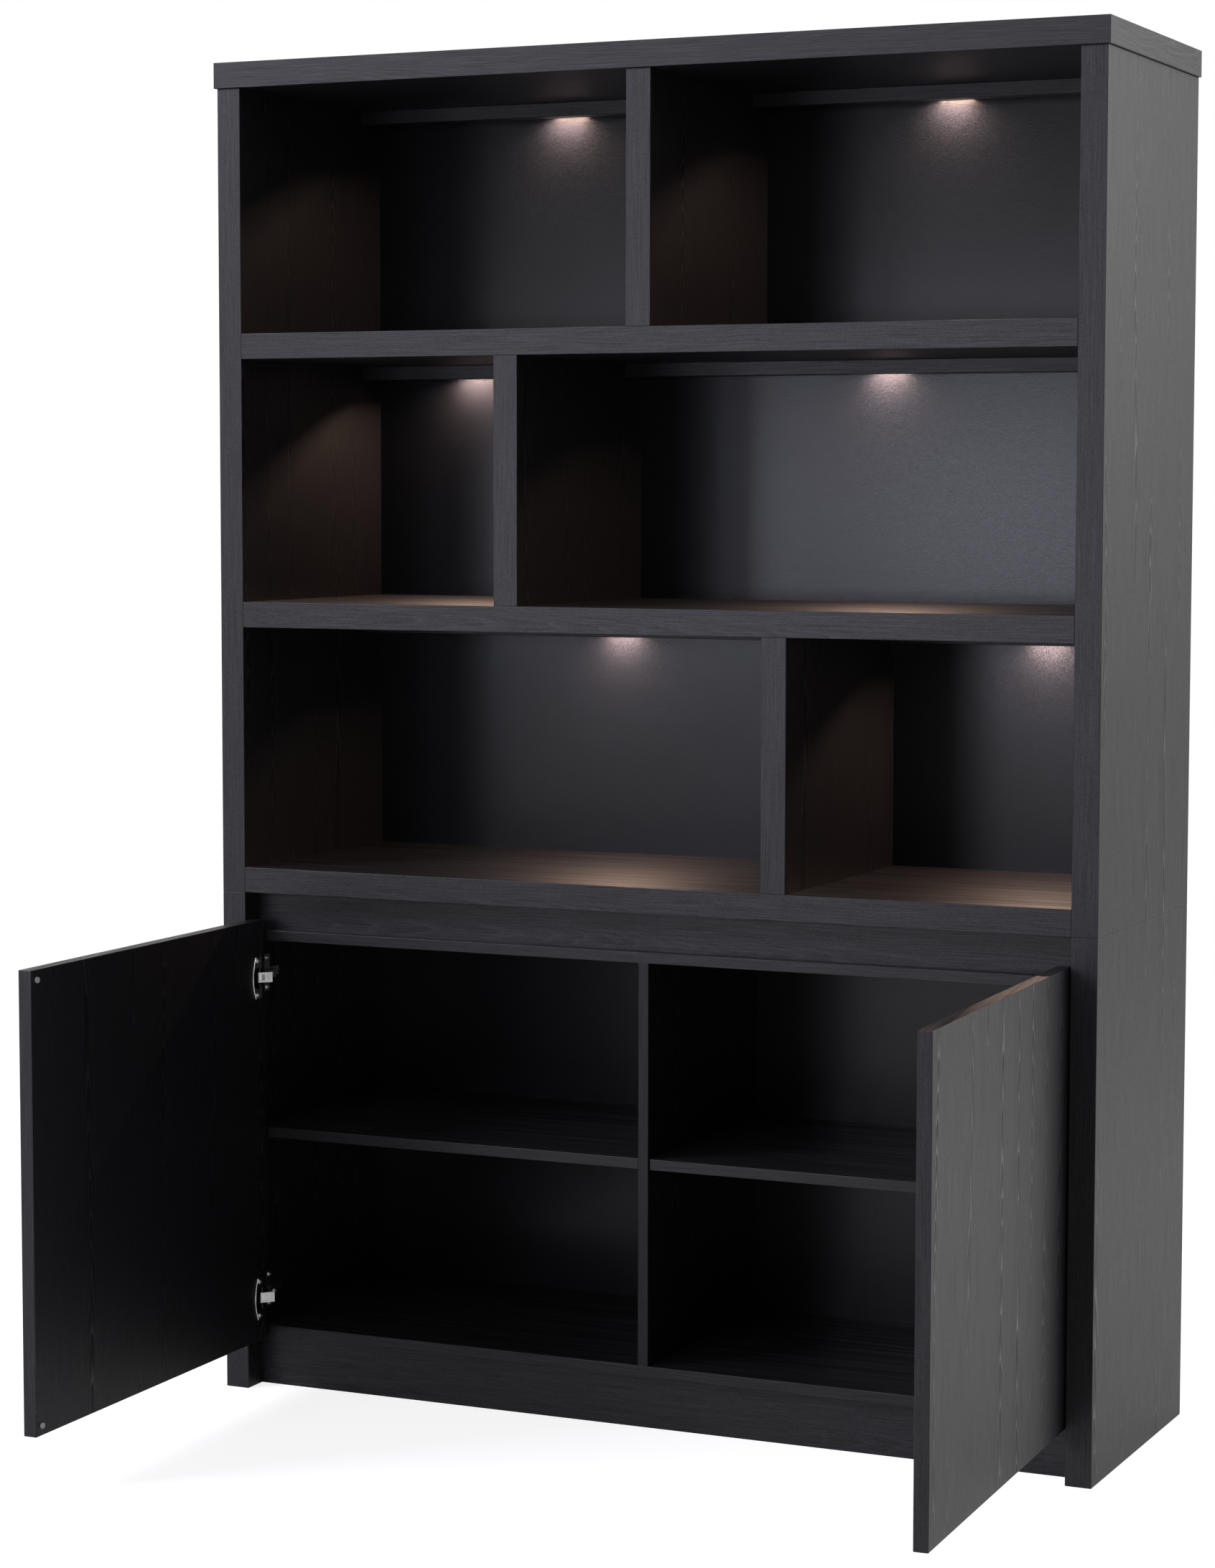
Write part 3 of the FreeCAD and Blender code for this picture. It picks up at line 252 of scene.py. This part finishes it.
def ash_board(name, upright, dark, light, roughness, level, lacquer):
    """Ash-grain board: upright boards carry the grain up, the others from left to right.

    level is the specular level of the board itself, and lacquer is how much of it the coat covers.
    """
    f = Finish(name)
    x, y, z = f.place()
    facing_x = abs(f.normal()[0]) > 0.7
    facing_up = f.normal()[2] > 0.7
    if upright:
        # on a side face the grain is laid out by depth, on a front edge by width
        along = z
        across = facing_x * (y - x) + x * 1.3 + y * 0.2
        broad = facing_x * 1.25 + 0.15
    else:
        along = x + facing_x * (y - x)
        across = z + y + facing_x * (x - y)
        broad = 0.22
    pores = f.noise(x * PORES, y * PORES, z * PORES, detail=1.0)
    figure = arches(f, along, across) * broad
    streaks = f.noise(along * 2.5, across * 75.0, 0.0, detail=2.0) * facing_up
    fine = fibres(f, along, across) * (1.1 - facing_x * 0.2) + pores * 0.9 + streaks * 2.0
    raised = fine + figure
    colour = f.blend(f.limited(raised + 0.5), dark, light)
    shader = f.surface(
        Base_Color=colour,
        Roughness=f.limited(raised * -0.12 + roughness, 0.2, 0.95),
        Normal=f.bump(raised, RELIEF, 0.6),
        Specular_IOR_Level=level,
        Coat_Weight=f.limited(raised * lacquer * 1.5 + lacquer),
        Coat_Roughness=0.38,
        Coat_IOR=1.5,
    )
    return f.done(shader)


CHARCOAL = rgb(0.0010, 0.0009, 0.0013)
GRAPHITE = rgb(0.0090, 0.0080, 0.0105)
upright_ash = ash_board("upright_ash", True, CHARCOAL, GRAPHITE, 0.5, 0.14, 0.44)
level_ash = ash_board("level_ash", False, CHARCOAL, GRAPHITE, 0.5, 0.14, 0.45)
# a darker, duller copy of the same ash for the parts inside the base cabinet: painted shade
SHADED_INNER_DARK = rgb(0.0010, 0.0009, 0.0012)
SHADED_INNER_LIGHT = rgb(0.007, 0.0066, 0.0078)
shaded_inner_ash = ash_board("shaded_inner_ash", False, SHADED_INNER_DARK, SHADED_INNER_LIGHT, 0.55, 0.14, 0.44)
shaded_inner_upright = ash_board("inner_upright_ash", True, SHADED_INNER_DARK, SHADED_INNER_LIGHT, 0.55, 0.12, 0.34)
print("ash finishes:", len(bpy.data.materials))

# %% [markdown]
# The back panels are thin board with a lacquer that dried in a fine orange-peel mottle, with no grain at all.
# Low light glances off them as a soft sheen full of tiny specks, so the relief matters more than the colour.

# %% Back panels
PANEL_DARK = rgb(0.0008, 0.0009, 0.0012)
PANEL_LIGHT = rgb(0.0072, 0.0078, 0.0105)
PANEL_ROUGHNESS = 0.2
PANEL_COAT = 0.5


def mottled_panel():
    f = Finish("mottled_back")
    x, y, z = f.place()
    specks = f.noise(x * 620.0, y * 620.0, z * 620.0, detail=2.0, roughness=0.6)
    clouds = f.noise(x * 9.0, y * 9.0, z * 9.0, detail=3.0)
    fleck = f.noise(x * 1500.0, y * 1500.0, z * 1500.0, detail=1.0)
    tone = f.limited(specks * 2.4 + clouds * 0.4 + fleck * 1.6 + 0.5)
    shader = f.surface(
        Base_Color=f.blend(tone, PANEL_DARK, PANEL_LIGHT),
        Roughness=f.limited(specks * 0.2 + PANEL_ROUGHNESS + 0.02, 0.1, 0.95),
        Normal=f.bump(specks + fleck * 0.5, 0.0003, 0.5),
        Specular_IOR_Level=PANEL_COAT * 0.35,
        Coat_Weight=f.limited((specks * 1.5 + fleck * 1.3 + 0.5) * PANEL_COAT),
        Coat_Roughness=PANEL_ROUGHNESS,
    )
    return f.done(shader)


mottled_back = mottled_panel()
print("back panels: coat", PANEL_COAT, "with roughness", PANEL_ROUGHNESS)

# %% [markdown]
# Hinges are pressed steel with bright nickel, which is never perfectly even: fine rolling lines and faint
# fingerprints change how it shines. The rolled rims are polished and the link covers are satin. The inside of a
# cup is painted dark, which is painted shade. Screws are zinc plated and a little bluer. One function makes them
# all, because they differ in colour and polish only, apart from the painted shade in the cups.

# %% Metals
DARKER = 0.72
# how dark the inside of a cup is painted, as painted shade
PAINTED_CUP_SHADE = 0.09
CUP_INSIDE = 0.6246


def plated(name, colour, roughness, line_scale, painted_shade_beyond=None):
    """Plated steel; the last argument is how far out in x the inside of a cup begins, which is painted dark as
    painted shade.
    """
    f = Finish(name)
    x, y, z = f.place()
    lines = f.noise(x * line_scale, y * line_scale, z * line_scale * 8.0, detail=2.0)
    smears = f.noise(x * 90.0, y * 90.0, z * 90.0, detail=3.0)
    shade = f.limited(smears * 0.9 + lines * 0.3 + 0.5)
    darker = rgb(*(part * DARKER for part in colour))
    plate = f.blend(shade, darker, rgb(*colour))
    # the inside of a cup is painted dark: painted shade
    if painted_shade_beyond:
        plate = f.blend(abs(x) > painted_shade_beyond, plate, rgb(*(part * PAINTED_CUP_SHADE for part in colour)))
    shader = f.surface(
        Base_Color=plate,
        Metallic=1.0,
        Roughness=f.limited(smears * 0.16 + lines * 0.1 + roughness, 0.06, 0.9),
        Normal=f.bump(lines, 0.00004, 0.4),
    )
    return f.done(shader)


nickel = plated("bright_nickel", (0.78, 0.76, 0.73), 0.22, 900.0)
polished = plated("polished_nickel", (0.93, 0.91, 0.87), 0.13, 900.0)
satin_nickel = plated("satin_nickel", (0.95, 0.93, 0.89), 0.4, 900.0)
cup_metal = plated("cup_nickel", (0.78, 0.76, 0.73), 0.2, 900.0, painted_shade_beyond=CUP_INSIDE)
zinc = plated("blue_zinc", (0.70, 0.74, 0.80), 0.26, 1200.0)
steel = plated("plain_steel", (0.60, 0.60, 0.60), 0.35, 700.0)
satin_metal = plated("satin_aluminium", (0.74, 0.73, 0.71), 0.4, 1500.0)
print("finishes so far:", len(bpy.data.materials))

# %% [markdown]
# The small pieces that are left are the lamps' frosted lenses, the soft bumpers, the driver's plastic case and
# the beech dowels. The lens glows by itself, a warm white that the frosting breaks into a fine mottle.

# %% Lens, bumper, case and dowel
LAMP_GLOW = rgb(1.0, 0.67, 0.51)
LENS_DIM_GLOW = rgb(0.9, 0.62, 0.44)
LENS_STRENGTH = 6.0


def lens_finish():
    f = Finish("frosted_lens")
    x, y, z = f.place()
    frost = f.noise(x * 2200.0, y * 2200.0, z * 2200.0, detail=2.0)
    shader = f.surface(
        Base_Color=f.blend(f.limited(frost + 0.5), rgb(0.75, 0.70, 0.62), rgb(0.92, 0.88, 0.80)),
        Roughness=f.limited(frost * 0.3 + 0.45, 0.2, 0.8),
        Emission_Color=f.blend(f.limited(frost * 0.6 + 0.6), LENS_DIM_GLOW, LAMP_GLOW),
        Emission_Strength=LENS_STRENGTH,
    )
    return f.done(shader)


def soft_finish(name, low, high, scale, roughness, relief):
    """Plastic, rubber or turned wood: a mottle of two colours with a fine relief."""
    f = Finish(name)
    x, y, z = f.place()
    mottle = f.noise(x * scale, y * scale, z * scale, detail=3.0)
    shader = f.surface(
        Base_Color=f.blend(f.limited(mottle * 1.2 + 0.5), rgb(*low), rgb(*high)),
        Roughness=f.limited(mottle * 0.2 + roughness, 0.1, 1.0),
        Normal=f.bump(mottle, relief, 0.5),
    )
    return f.done(shader)


lens_glow = lens_finish()
bumper_clear = soft_finish("bumper_gel", (0.30, 0.30, 0.31), (0.42, 0.42, 0.43), 600.0, 0.3, 0.00005)
case_plastic = soft_finish("driver_case", (0.66, 0.66, 0.64), (0.74, 0.74, 0.72), 1400.0, 0.5, 0.00006)
beech = soft_finish("beech_dowel", (0.42, 0.28, 0.16), (0.58, 0.41, 0.25), 260.0, 0.6, 0.00008)
print("finishes:", len(bpy.data.materials))

# %% [markdown]
# Each node of the model now gets its finish. Boards that stand up carry upright grain; shelves, rails, plinths
# and the top carry it from left to right. The carcass, the partition, the loose shelves and the rear rails take
# the darker copy of the ash, which is painted shade.

# %% Dress the nodes
UPRIGHT = (
    "upper_side", "base_side", "row_1_divider", "row_2_divider", "row_3_divider", "left_door", "right_door",
)
FINISH_BY_START = (
    ("left_door_bumpers", bumper_clear),
    ("right_door_bumpers", bumper_clear),
    ("upper_back_panel", mottled_back),
    ("base_back_panel", mottled_back),
    ("partition", shaded_inner_upright),
    ("carcass_", shaded_inner_ash),
    ("loose_shelf", shaded_inner_ash),
    ("rear_rail", shaded_inner_ash),
    ("lamp_can", satin_metal),
    ("lamp_lens", lens_glow),
    ("lamp_driver", case_plastic),
    ("dowels", beech),
    ("locating_pins", steel),
    ("shelf_pins", steel),
    ("hinge_link_pins", steel),
    ("hinge_plate_screws", zinc),
    ("hinge_clamp_screws", zinc),
    ("left_cup_screws", zinc),
    ("right_cup_screws", zinc),
    ("back_panel_screws", zinc),
    ("left_hinge_cups", cup_metal),
    ("right_hinge_cups", cup_metal),
    ("hinge_", nickel),
    ("left_hinge", nickel),
    ("right_hinge", nickel),
)


def finish_for(name):
    """The first start that fits decides, so the special cases come before the general ones."""
    for start, material in FINISH_BY_START:
        if name.startswith(start):
            return material
    return upright_ash if name.startswith(UPRIGHT) else level_ash


for name, thing in nodes.items():
    thing.data.materials.clear()
    thing.data.materials.append(finish_for(name))
print("dressed", len(nodes), "nodes")

# %% [markdown]
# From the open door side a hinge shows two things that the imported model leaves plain: the pressed cover over its
# link, and the rolled rim of the plate on its cup. Both are built with the tools that one would use by hand in
# edit mode. A few helpers come first: one deselects everything, one picks faces by where they are and which way
# they look, one applies the modifiers, and one copies a finished piece to the other hinges. The copy's place is
# written into its mesh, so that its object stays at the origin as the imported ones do.

# %% Helpers for the pieces
def deselect_all():
    if bpy.context.mode != "OBJECT":
        bpy.ops.object.mode_set(mode="OBJECT")
    bpy.ops.object.select_all(action="DESELECT")


def pick_faces(piece, wanted):
    """In edit mode, selects the faces whose middle and normal pass a test."""
    bpy.ops.mesh.select_mode(type="FACE")
    bpy.ops.mesh.select_all(action="DESELECT")
    shape = bmesh.from_edit_mesh(piece.data)
    for face in shape.faces:
        if wanted(face.calc_center_median(), face.normal):
            face.select_set(True)
    bmesh.update_edit_mesh(piece.data)


def apply_modifiers(piece):
    bpy.context.view_layer.objects.active = piece
    for modifier in list(piece.modifiers):
        bpy.ops.object.modifier_apply(modifier=modifier.name)


def placed_copy(piece, name, turn, place, mirrored=False):
    """A copy with its own mesh, turned about Z, moved, and mirrored in X where asked; its object stays at rest."""
    copy = piece.copy()
    copy.data = piece.data.copy()
    copy.name = name
    scene.collection.objects.link(copy)
    flip = Matrix.Scale(-1, 4, (1, 0, 0)) if mirrored else Matrix.Identity(4)
    copy.data.transform(flip @ Matrix.Translation(place) @ Matrix.Rotation(turn, 4, "Z"))
    if mirrored:
        copy.data.flip_normals()
    return copy


def finish_piece(piece, material, body):
    piece.data.materials.clear()
    piece.data.materials.append(material)
    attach(piece, body)


print("helpers ready")

# %% [markdown]
# The cover is a shallow pressed channel with a raised frame and a rivet. It starts as a cube. Its back and ends
# are deleted, which leaves the channel. The first two insets leave a frame and sink the middle, and the next two
# raise a pad in it. A Solidify modifier gives the sheet its thickness and a Bevel softens it. The rivet is a
# cylinder with its own inset for the hollow. Drawing the frame with bump alone would be quicker, but it would
# vanish from the side.

# %% Link cover
MM = 0.001
END_RADIUS = 2.3 * MM  # the link's rounded ends
LINK_HALF_HEIGHT = 4.5 * MM
COVER_HEIGHT = 15.2 * MM
COVER_FRONT = -3.8 * MM
COVER_BACK = 0.8 * MM
PAST_CUP_PIN = 2.8 * MM
PAST_ARM_PIN = 3.4 * MM
SHEET = 0.7 * MM
FRAME_WIDTH = 1.9 * MM
STEP_WIDTH = 0.3 * MM
SUNK = 0.9 * MM
PAD_MARGIN = 2.2 * MM
PAD_RAISED = 0.5 * MM
SOFT_EDGE = 0.2 * MM
RIVET_RADIUS = 2.1 * MM
RIVET_LENGTH = 1.2 * MM
RIVET_OFF_MIDDLE = 1.5 * MM
RIVET_SUNK = 0.5 * MM
RIVET_RIM = 0.9 * MM
RIVET_HOLLOW = 0.6 * MM
HOLLOW_SLOPE = 0.1 * MM
RIVET_EDGE = 0.15 * MM
ROUND_SIDES = 28


def link_ends(side):
    """The cup pin and the arm pin of a door's links, as if on the left, and the two hinge heights."""
    low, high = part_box(side + "_hinge_links")
    near, far = sorted((abs(low.x), abs(high.x)))
    cup = Vector((-far + END_RADIUS, low.y + END_RADIUS))
    arm = Vector((-near - END_RADIUS, high.y - END_RADIUS))
    return cup, arm, (low.z + LINK_HALF_HEIGHT, high.z - LINK_HALF_HEIGHT)


cup_pin, arm_pin, hinge_heights = link_ends("left")
reach = (arm_pin - cup_pin).length
length = reach + PAST_CUP_PIN + PAST_ARM_PIN
middle = (reach + PAST_ARM_PIN - PAST_CUP_PIN) / 2

deselect_all()
bpy.ops.mesh.primitive_cube_add(size=1, location=(middle, (COVER_FRONT + COVER_BACK) / 2, 0))
cover = bpy.context.object
cover.scale = (length, COVER_BACK - COVER_FRONT, COVER_HEIGHT)
bpy.ops.object.transform_apply(location=True, rotation=False, scale=True)
bpy.ops.object.mode_set(mode="EDIT")
pick_faces(cover, lambda spot, way: way.y > 0.9 or abs(way.x) > 0.9)
bpy.ops.mesh.delete(type="FACE")
pick_faces(cover, lambda spot, way: way.y < -0.9)
bpy.ops.mesh.inset(thickness=FRAME_WIDTH, depth=0)
bpy.ops.mesh.inset(thickness=STEP_WIDTH, depth=-SUNK)
bpy.ops.mesh.inset(thickness=PAD_MARGIN, depth=0)
bpy.ops.mesh.inset(thickness=STEP_WIDTH, depth=PAD_RAISED)
bpy.ops.object.mode_set(mode="OBJECT")
sheet = cover.modifiers.new("sheet", "SOLIDIFY")
sheet.thickness = SHEET
sheet.offset = -1
soft = cover.modifiers.new("soft", "BEVEL")
soft.width = SOFT_EDGE
soft.segments = 2
soft.limit_method = "ANGLE"
apply_modifiers(cover)

deselect_all()
bpy.ops.mesh.primitive_cylinder_add(
    vertices=ROUND_SIDES,
    radius=RIVET_RADIUS,
    depth=RIVET_LENGTH,
    location=(middle + RIVET_OFF_MIDDLE, COVER_FRONT + RIVET_SUNK, 0),
    rotation=(math.pi / 2, 0, 0),
)
rivet = bpy.context.object
bpy.ops.object.transform_apply(location=True, rotation=True, scale=True)
bpy.ops.object.mode_set(mode="EDIT")
pick_faces(rivet, lambda spot, way: way.y < -0.9)
bpy.ops.mesh.inset(thickness=RIVET_RIM, depth=0)
bpy.ops.mesh.inset(thickness=HOLLOW_SLOPE, depth=-RIVET_HOLLOW)
bpy.ops.object.mode_set(mode="OBJECT")
round_off = rivet.modifiers.new("round_off", "BEVEL")
round_off.width = RIVET_EDGE
round_off.segments = 2
apply_modifiers(rivet)
cover.select_set(True)
rivet.select_set(True)
bpy.context.view_layer.objects.active = cover
bpy.ops.object.join()

for side in ("left", "right"):
    cup_pin, arm_pin, heights = link_ends(side)
    along = arm_pin - cup_pin
    for level_name, height in zip(("lower", "upper"), heights):
        name = f"{side}_link_cover_{level_name}"
        place = (cup_pin.x, cup_pin.y, height)
        made = placed_copy(cover, name, math.atan2(along.y, along.x), place, side == "right")
        finish_piece(made, satin_nickel, side + "_links")
bpy.data.objects.remove(cover)
print("link covers: 4, each", round(length / MM, 1), "mm long")

# %% [markdown]
# The rim of a cup's plate is one bend of a round bar: a small circle, spun about the centre of the plate's curved
# edge. Spin leaves both ends open, so they are filled and the normals are made to point outwards.

# %% Plate rims
RIM_RADIUS = 1.1 * MM
RIM_SIDES = 12
RIM_STEPS = 28
EDGE_RADIUS = 64 * MM  # the curve of the plate's outer edge
EDGE_CENTRE = Vector((-36.1, 11.9)) * MM  # its centre, from the swing axis of a shut door
HALF_SPAN = 31 * MM
SWING_AXIS = Vector((-636.25, -436.25)) * MM
OPEN_ANGLE = {"left": math.radians(-89.3), "right": math.radians(-92.3)}

half_angle = math.asin(HALF_SPAN / EDGE_RADIUS)
deselect_all()
start = Vector((EDGE_RADIUS * math.cos(half_angle), 0, -HALF_SPAN))
bpy.ops.mesh.primitive_circle_add(
    vertices=RIM_SIDES, radius=RIM_RADIUS, location=start, rotation=(0, half_angle, 0)
)
rim = bpy.context.object
bpy.ops.object.transform_apply(location=True, rotation=True, scale=True)
bpy.ops.object.mode_set(mode="EDIT")
bpy.ops.mesh.select_all(action="SELECT")
bpy.ops.mesh.spin(steps=RIM_STEPS, angle=2 * half_angle, center=(0, 0, 0), axis=(0, 1, 0))
bpy.ops.mesh.select_all(action="SELECT")
bpy.ops.mesh.fill_holes(sides=RIM_SIDES)
bpy.ops.mesh.select_all(action="SELECT")
bpy.ops.mesh.normals_make_consistent(inside=False)
bpy.ops.object.mode_set(mode="OBJECT")
bpy.ops.object.shade_smooth_by_angle(angle=math.radians(50))
rim.data.transform(Matrix.Translation((EDGE_CENTRE.x, EDGE_CENTRE.y, 0)))
for side in ("left", "right"):
    for level_name, height in zip(("lower", "upper"), hinge_heights):
        name = f"{side}_plate_rim_{level_name}"
        place = (SWING_AXIS.x, SWING_AXIS.y, height)
        made = placed_copy(rim, name, OPEN_ANGLE[side], place, side == "right")
        finish_piece(made, polished, side + "_door")
bpy.data.objects.remove(rim)
print("plate rims: 4, bar", round(2 * RIM_RADIUS / MM, 1), "mm thick")

# %% [markdown]
# Each lamp sits high in the slot behind its light board. Its light washes over the panel close behind it, falls
# to the shelf below, and is cut off in front by the light board, which draws a slanting shade on the cell's sides.
# A small rectangular area light just under the lens does all three: it shines one way only and weakens towards
# the sides like frosted glass. It is wider than the lens because the slot's walls scatter light sideways too, and
# that gives the patch its flat, wide top. A spot light is quicker to aim, but it draws a narrow dot here.

# %% Lamps
LAMP_POWER = 2.05
LAMP_SPREAD = math.radians(153)
GLOW_WIDTH = 0.052
GLOW_DEPTH = 0.008
BELOW_LENS = 0.001

for name in sorted(nodes):
    if name.startswith("lamp_lens"):
        low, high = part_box(name)
        middle = (low + high) / 2
        data = bpy.data.lights.new(name + "_beam", "AREA")
        data.shape = "RECTANGLE"
        data.size = GLOW_WIDTH
        data.size_y = GLOW_DEPTH
        data.energy = LAMP_POWER
        data.spread = LAMP_SPREAD
        data.color = LAMP_GLOW[:3]
        lamp = bpy.data.objects.new(name + "_beam", data)
        lamp.location = (middle.x, middle.y, low.z - BELOW_LENS)
        scene.collection.objects.link(lamp)
print("lamps:", len(bpy.data.lights))

# %% [markdown]
# The floor is pale and runs out of sight. It has two jobs: to catch the unit's shadow, and to be plain white
# everywhere else. Light Path tells its shader which rays are looking. The camera sees a weak diffuse veil over a
# steady glow, which is white in full light and turns grey only in shade, and beyond a few metres pure white, so
# no horizon shows. Every other ray meets an ordinary pale floor, which bounces light up into the cabinet.

# %% Floor
WHITE = rgb(1, 1, 1)
FLOOR_SIZE = 60
FLOOR_DROP = 0.0002
MIRRORED_SHARE = 0.31
REAL_FLOOR = rgb(0.55, 0.55, 0.55)
VEIL = rgb(0.34, 0.34, 0.34)
STEADY_GLOW = 0.80


def studio_floor():
    f = Finish("studio_floor")
    x, y, z = f.place()
    far = f.limited((x * x + y * y) * 0.05 - 0.2)  # from 0 at 2 m to 1 at 5 m
    seen = f.seen_directly() + f.seen_mirrored() * MIRRORED_SHARE
    real = f.node("ShaderNodeBsdfDiffuse", sockets={"Color": REAL_FLOOR})
    veil = f.node("ShaderNodeBsdfDiffuse", sockets={"Color": VEIL})
    glow = f.node("ShaderNodeEmission", sockets={"Color": WHITE, "Strength": STEADY_GLOW})
    near = f.node("ShaderNodeAddShader", sockets={0: veil, 1: glow})
    white = f.node("ShaderNodeEmission", sockets={"Color": WHITE, "Strength": 1.0})
    pale = f.node("ShaderNodeMixShader", sockets={0: far, 1: near, 2: white})
    return f.done(f.node("ShaderNodeMixShader", sockets={0: f.limited(seen), 1: real, 2: pale}))


deselect_all()
bpy.ops.mesh.primitive_plane_add(size=FLOOR_SIZE, location=(0, 0, -FLOOR_DROP))
floor = bpy.context.object
floor.name = "studio_floor"
floor.data.materials.append(studio_floor())
print("floor:", FLOOR_SIZE, "m")

# %% [markdown]
# The surround is the room's light. The camera sees plain white. The boards get a gentler light, brighter from
# behind the unit than from the front, which leaves the cells dark and shapes the sides. Glossy surfaces mirror a
# room that is a little brighter in front, and brightest far to the right, where the sides catch their sheen. An
# even white world would be simpler, but it would wash every cell out.

# %% White surround
ROOM_BEHIND = 0.68
ROOM_FRONT = 0.34
MIRRORED_BEHIND = 0.7
MIRRORED_FRONT = 0.56
MIRRORED_RIGHT = 0.4


class Surround(Finish):
    """The world's graph, written like a material's."""

    def __init__(self, world):
        world.use_nodes = True
        self.tree = world.node_tree
        self.tree.nodes.clear()

    def done(self, shader):
        end = self.tree.nodes.new("ShaderNodeOutputWorld")
        self.tree.links.new(shader.socket, end.inputs["Surface"])


world = bpy.data.worlds.new("studio")
scene.world = world
w = Surround(world)
way = w.node("ShaderNodeTexCoord", out="Generated")
depthwise = w.node("ShaderNodeSeparateXYZ", sockets={0: way}, out="Y")
behind = w.limited(depthwise * 2.0 + 0.6)  # from 0 in front, through a soft change, to 1 behind
room = behind * (ROOM_BEHIND - ROOM_FRONT) + ROOM_FRONT
sideways = w.node("ShaderNodeSeparateXYZ", sockets={0: way}, out="X")
far_right = w.limited(sideways * 4.0 - 2.9)  # from 0 at 46 degrees off the middle to 1 at 77
mirrored = behind * (MIRRORED_BEHIND - MIRRORED_FRONT) + MIRRORED_FRONT + far_right * MIRRORED_RIGHT
level = room + w.seen_mirrored() * (mirrored - room)
level = level + w.limited(w.seen_directly()) * (1 - level)
w.done(w.node("ShaderNodeBackground", sockets={"Color": WHITE, "Strength": level}))
print("surround:", ROOM_BEHIND, "behind and", ROOM_FRONT, "in front")

# %% [markdown]
# Five soft lamps do what the room can't. Two windows stand in front at the left, as high as the cells; the
# lacquered back panels mirror them, which is the cool sheen in the wide middle cell. Two large fills, high up in
# front, light the boards' front edges. The key stands behind at the right and lights the long side, brightest at
# the top. All are area lights, because a small light would draw hard shadows that this photograph doesn't have.

# %% Soft studio lamps
def soft_lamp(name, place, target, width, height, power, colour=(1, 1, 1)):
    data = bpy.data.lights.new(name, "AREA")
    data.shape = "RECTANGLE"
    data.size = width
    data.size_y = height
    data.energy = power
    data.color = colour
    lamp = bpy.data.objects.new(name, data)
    lamp.location = place
    aim = Vector(target) - Vector(place)
    lamp.rotation_euler = aim.to_track_quat("-Z", "Y").to_euler()
    scene.collection.objects.link(lamp)


COOL = (0.86, 0.85, 1.0)
COOL_WINDOW = (0.81, 0.83, 1.0)
soft_lamp("front_window", (-1.12, -4.9, 1.30), (0.3, 0, 1.30), 0.9, 0.66, 21, COOL_WINDOW)
soft_lamp("left_window", (-2.35, -4.9, 1.30), (0.3, 0, 1.30), 0.7, 0.66, 12.5, COOL_WINDOW)
soft_lamp("front_fill", (-6.0, -5.5, 5.5), (0, -0.4, 1.2), 3.0, 3.0, 700, COOL)
soft_lamp("high_fill", (-1.0, -7.5, 6.5), (0, -0.4, 1.0), 3.0, 3.0, 180, COOL)
soft_lamp("side_key", (3.6, 1.6, 2.6), (0.6, -0.4, 1.0), 2.0, 2.5, 133)
scene.view_settings.view_transform = "Standard"
print("studio ready")

# %% [markdown]

# %% Finish
print("scene finished")
